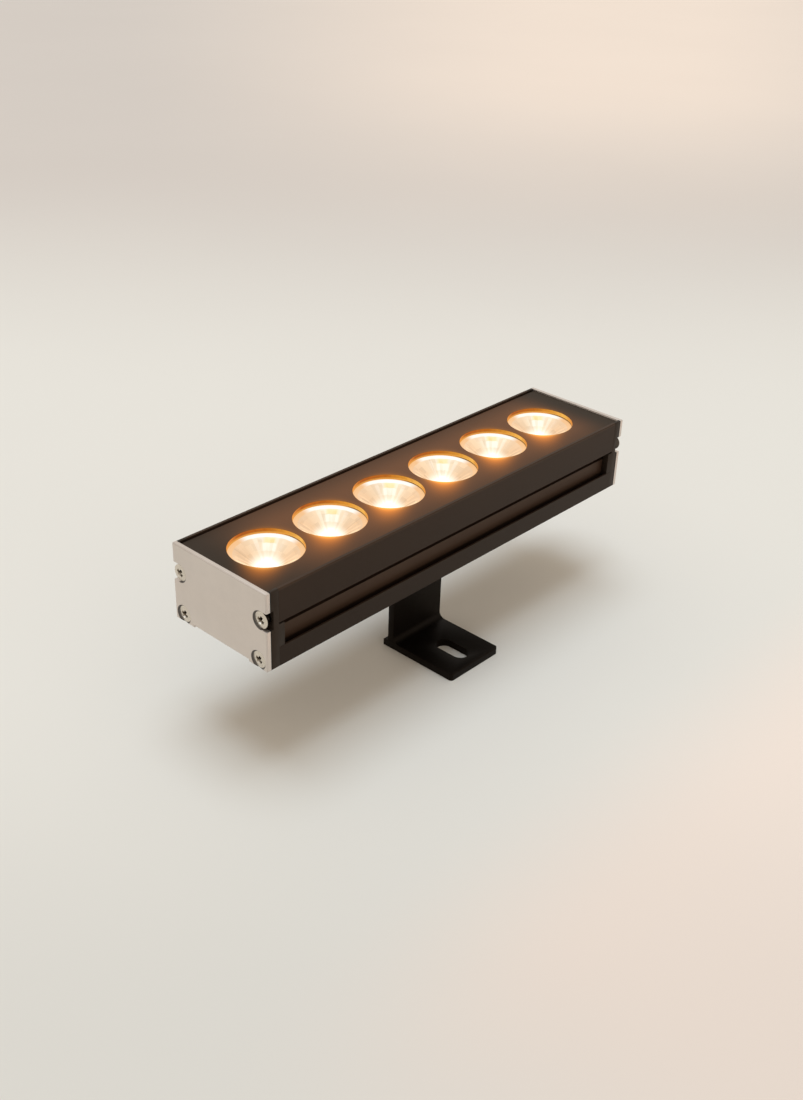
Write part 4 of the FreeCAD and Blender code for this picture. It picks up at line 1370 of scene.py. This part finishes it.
@dataclass
class EndCovers:
    """The moulded caps and the bright plates at both ends, with their edges broken."""

    cap_rounding: float = 0.4
    plate_rounding: float = 0.22

    def build(self, palette: Palette) -> None:
        """Make the rounded copies and put them in place of their nodes.

        Args:
            palette: the finishes.
        """
        for end in End:
            cap = softened(f"end_cap_{end.mark}", f"moulded_cap_{end.mark}", self.cap_rounding)
            dress(cap, Body.HEAD, "cap_black", palette, [f"end_cap_{end.mark}"])
            plate = softened(f"end_plate_{end.mark}", f"stamped_plate_{end.mark}",
                             self.plate_rounding)
            dress(plate, Body.HEAD, "end_plate_metal", palette, [f"end_plate_{end.mark}"])


@dataclass
class CadNodes:
    """The nodes that stay as they were packed and only get their finish."""

    def build(self, palette: Palette) -> None:
        """Give every node the material of its record slot.

        Args:
            palette: the finishes.
        """
        for subpart in frame["record"]["subparts"]:
            node = frame["nodes"][subpart["node"]]
            material = palette.material(subpart["material_slot"])
            if not node.material_slots:
                node.data.materials.append(material)
            for slot in node.material_slots:
                slot.material = material
            log.info("%s keeps its mesh in %s", node.name, material.name)


# ------------------------------------------------------------------------------ the studio

@dataclass
class Camera:
    """The camera, at the photograph's place, angle and focal length."""

    place: Point = (-0.41577279, -0.36523154, 0.36761082)
    turn: float = 0.835994
    drop: float = 0.522003
    roll: float = 0.035015
    focal_px: float = 1297.130656
    long_side_px: float = 1100.0
    sensor: float = 36.0

    def build(self) -> None:
        """Make the camera."""
        sin_a, cos_a = math.sin(self.turn), math.cos(self.turn)
        sin_b, cos_b = math.sin(self.drop), math.cos(self.drop)
        ahead = Vector((sin_a * cos_b, cos_a * cos_b, -sin_b))
        right = Vector((cos_a, -sin_a, 0.0))
        up = right.cross(ahead)
        across = math.cos(self.roll) * right + math.sin(self.roll) * up
        above = -math.sin(self.roll) * right + math.cos(self.roll) * up
        lens = bpy.data.cameras.new("camera")
        lens.sensor_width = self.sensor
        lens.lens = self.focal_px * self.sensor / self.long_side_px
        lens.clip_start, lens.clip_end = 0.01, 50.0
        camera = bpy.data.objects.new("camera", lens)
        axes = Matrix((across, above, -ahead)).transposed().to_4x4()
        camera.matrix_world = Matrix.Translation(self.place) @ axes
        bpy.context.scene.collection.objects.link(camera)
        bpy.context.scene.camera = camera


@dataclass
class Studio:
    """Pale floor, soft light from above and a pale surround."""

    floor_colour: Colour = srgb(232, 228, 219)
    surround: Colour = srgb(231, 224, 214)
    sky: Colour = (1.0, 0.89, 0.77)
    sky_strength: float = 0.66
    key_strength: float = 1.54
    key_colour: Colour = (0.69, 0.84, 1.0)
    key_angle: float = 38.0
    key_from: Point = (0.04, 0.09, 1.0)

    def floor(self) -> None:
        """Lay the floor."""
        mesh = bpy.data.meshes.new("studio_floor")
        far = 12.0
        mesh.from_pydata([(-far, -far, 0), (far, -far, 0), (far, far, 0), (-far, far, 0)],
                         [], [(0, 1, 2, 3)])
        mesh.materials.append(StudioFloor(
            "studio_floor", self.floor_colour, 0.9, shine=0.1).make())
        stand("studio_floor", mesh)

    def world(self) -> None:
        """Light the surround, and let the camera and glossy rays see its own colour."""
        world = bpy.data.worlds.new("surround")
        world.use_nodes = True
        nodes = Nodes(world.node_tree)
        light = nodes.tree.nodes["Background"]
        light.inputs["Color"].default_value = (*self.sky, 1.0)
        light.inputs["Strength"].default_value = self.sky_strength
        seen = nodes.node("ShaderNodeBackground", Color=(*self.surround, 1.0))
        path = nodes.node("ShaderNodeLightPath").outputs
        share = path["Is Camera Ray"]
        for ray in ("Is Glossy Ray", "Is Transmission Ray"):
            either = nodes.node("ShaderNodeMath", in0=share, in1=path[ray])
            either.operation = "MAXIMUM"
            share = either.outputs[0]
        mix = nodes.node("ShaderNodeMixShader", in0=share, in1=light.outputs[0],
                         in2=seen.outputs[0])
        nodes.tree.links.new(mix.outputs[0], nodes.tree.nodes["World Output"].inputs[0])
        bpy.context.scene.world = world

    def key(self) -> None:
        """Hang the soft light above, a little behind the light's middle."""
        lamp = bpy.data.lights.new("softbox", "SUN")
        lamp.energy = self.key_strength
        lamp.color = self.key_colour
        lamp.angle = math.radians(self.key_angle)
        made = bpy.data.objects.new("softbox", lamp)
        made.rotation_mode = "QUATERNION"
        made.rotation_quaternion = Vector(self.key_from).to_track_quat("Z", "Y")
        bpy.context.scene.collection.objects.link(made)

    def build(self) -> None:
        """Make the floor, the surround and the key light."""
        self.floor()
        self.world()
        self.key()


def main() -> None:
    """Build the scene and log the pieces that it makes."""
    logging.basicConfig(level=logging.INFO, format="%(message)s")
    bpy.context.scene.view_settings.view_transform = "Standard"
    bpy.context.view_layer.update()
    row = LensRow()
    palette = Palette(row)
    Camera().build()
    Studio().build()
    CadNodes().build(palette)
    for assembly in (LensSet(row), EndCovers(), EndScrews(), FootBracket(), CableGland()):
        assembly.build(palette)
        log.info("%s done", type(assembly).__name__)


if __name__ == "__main__":
    main()
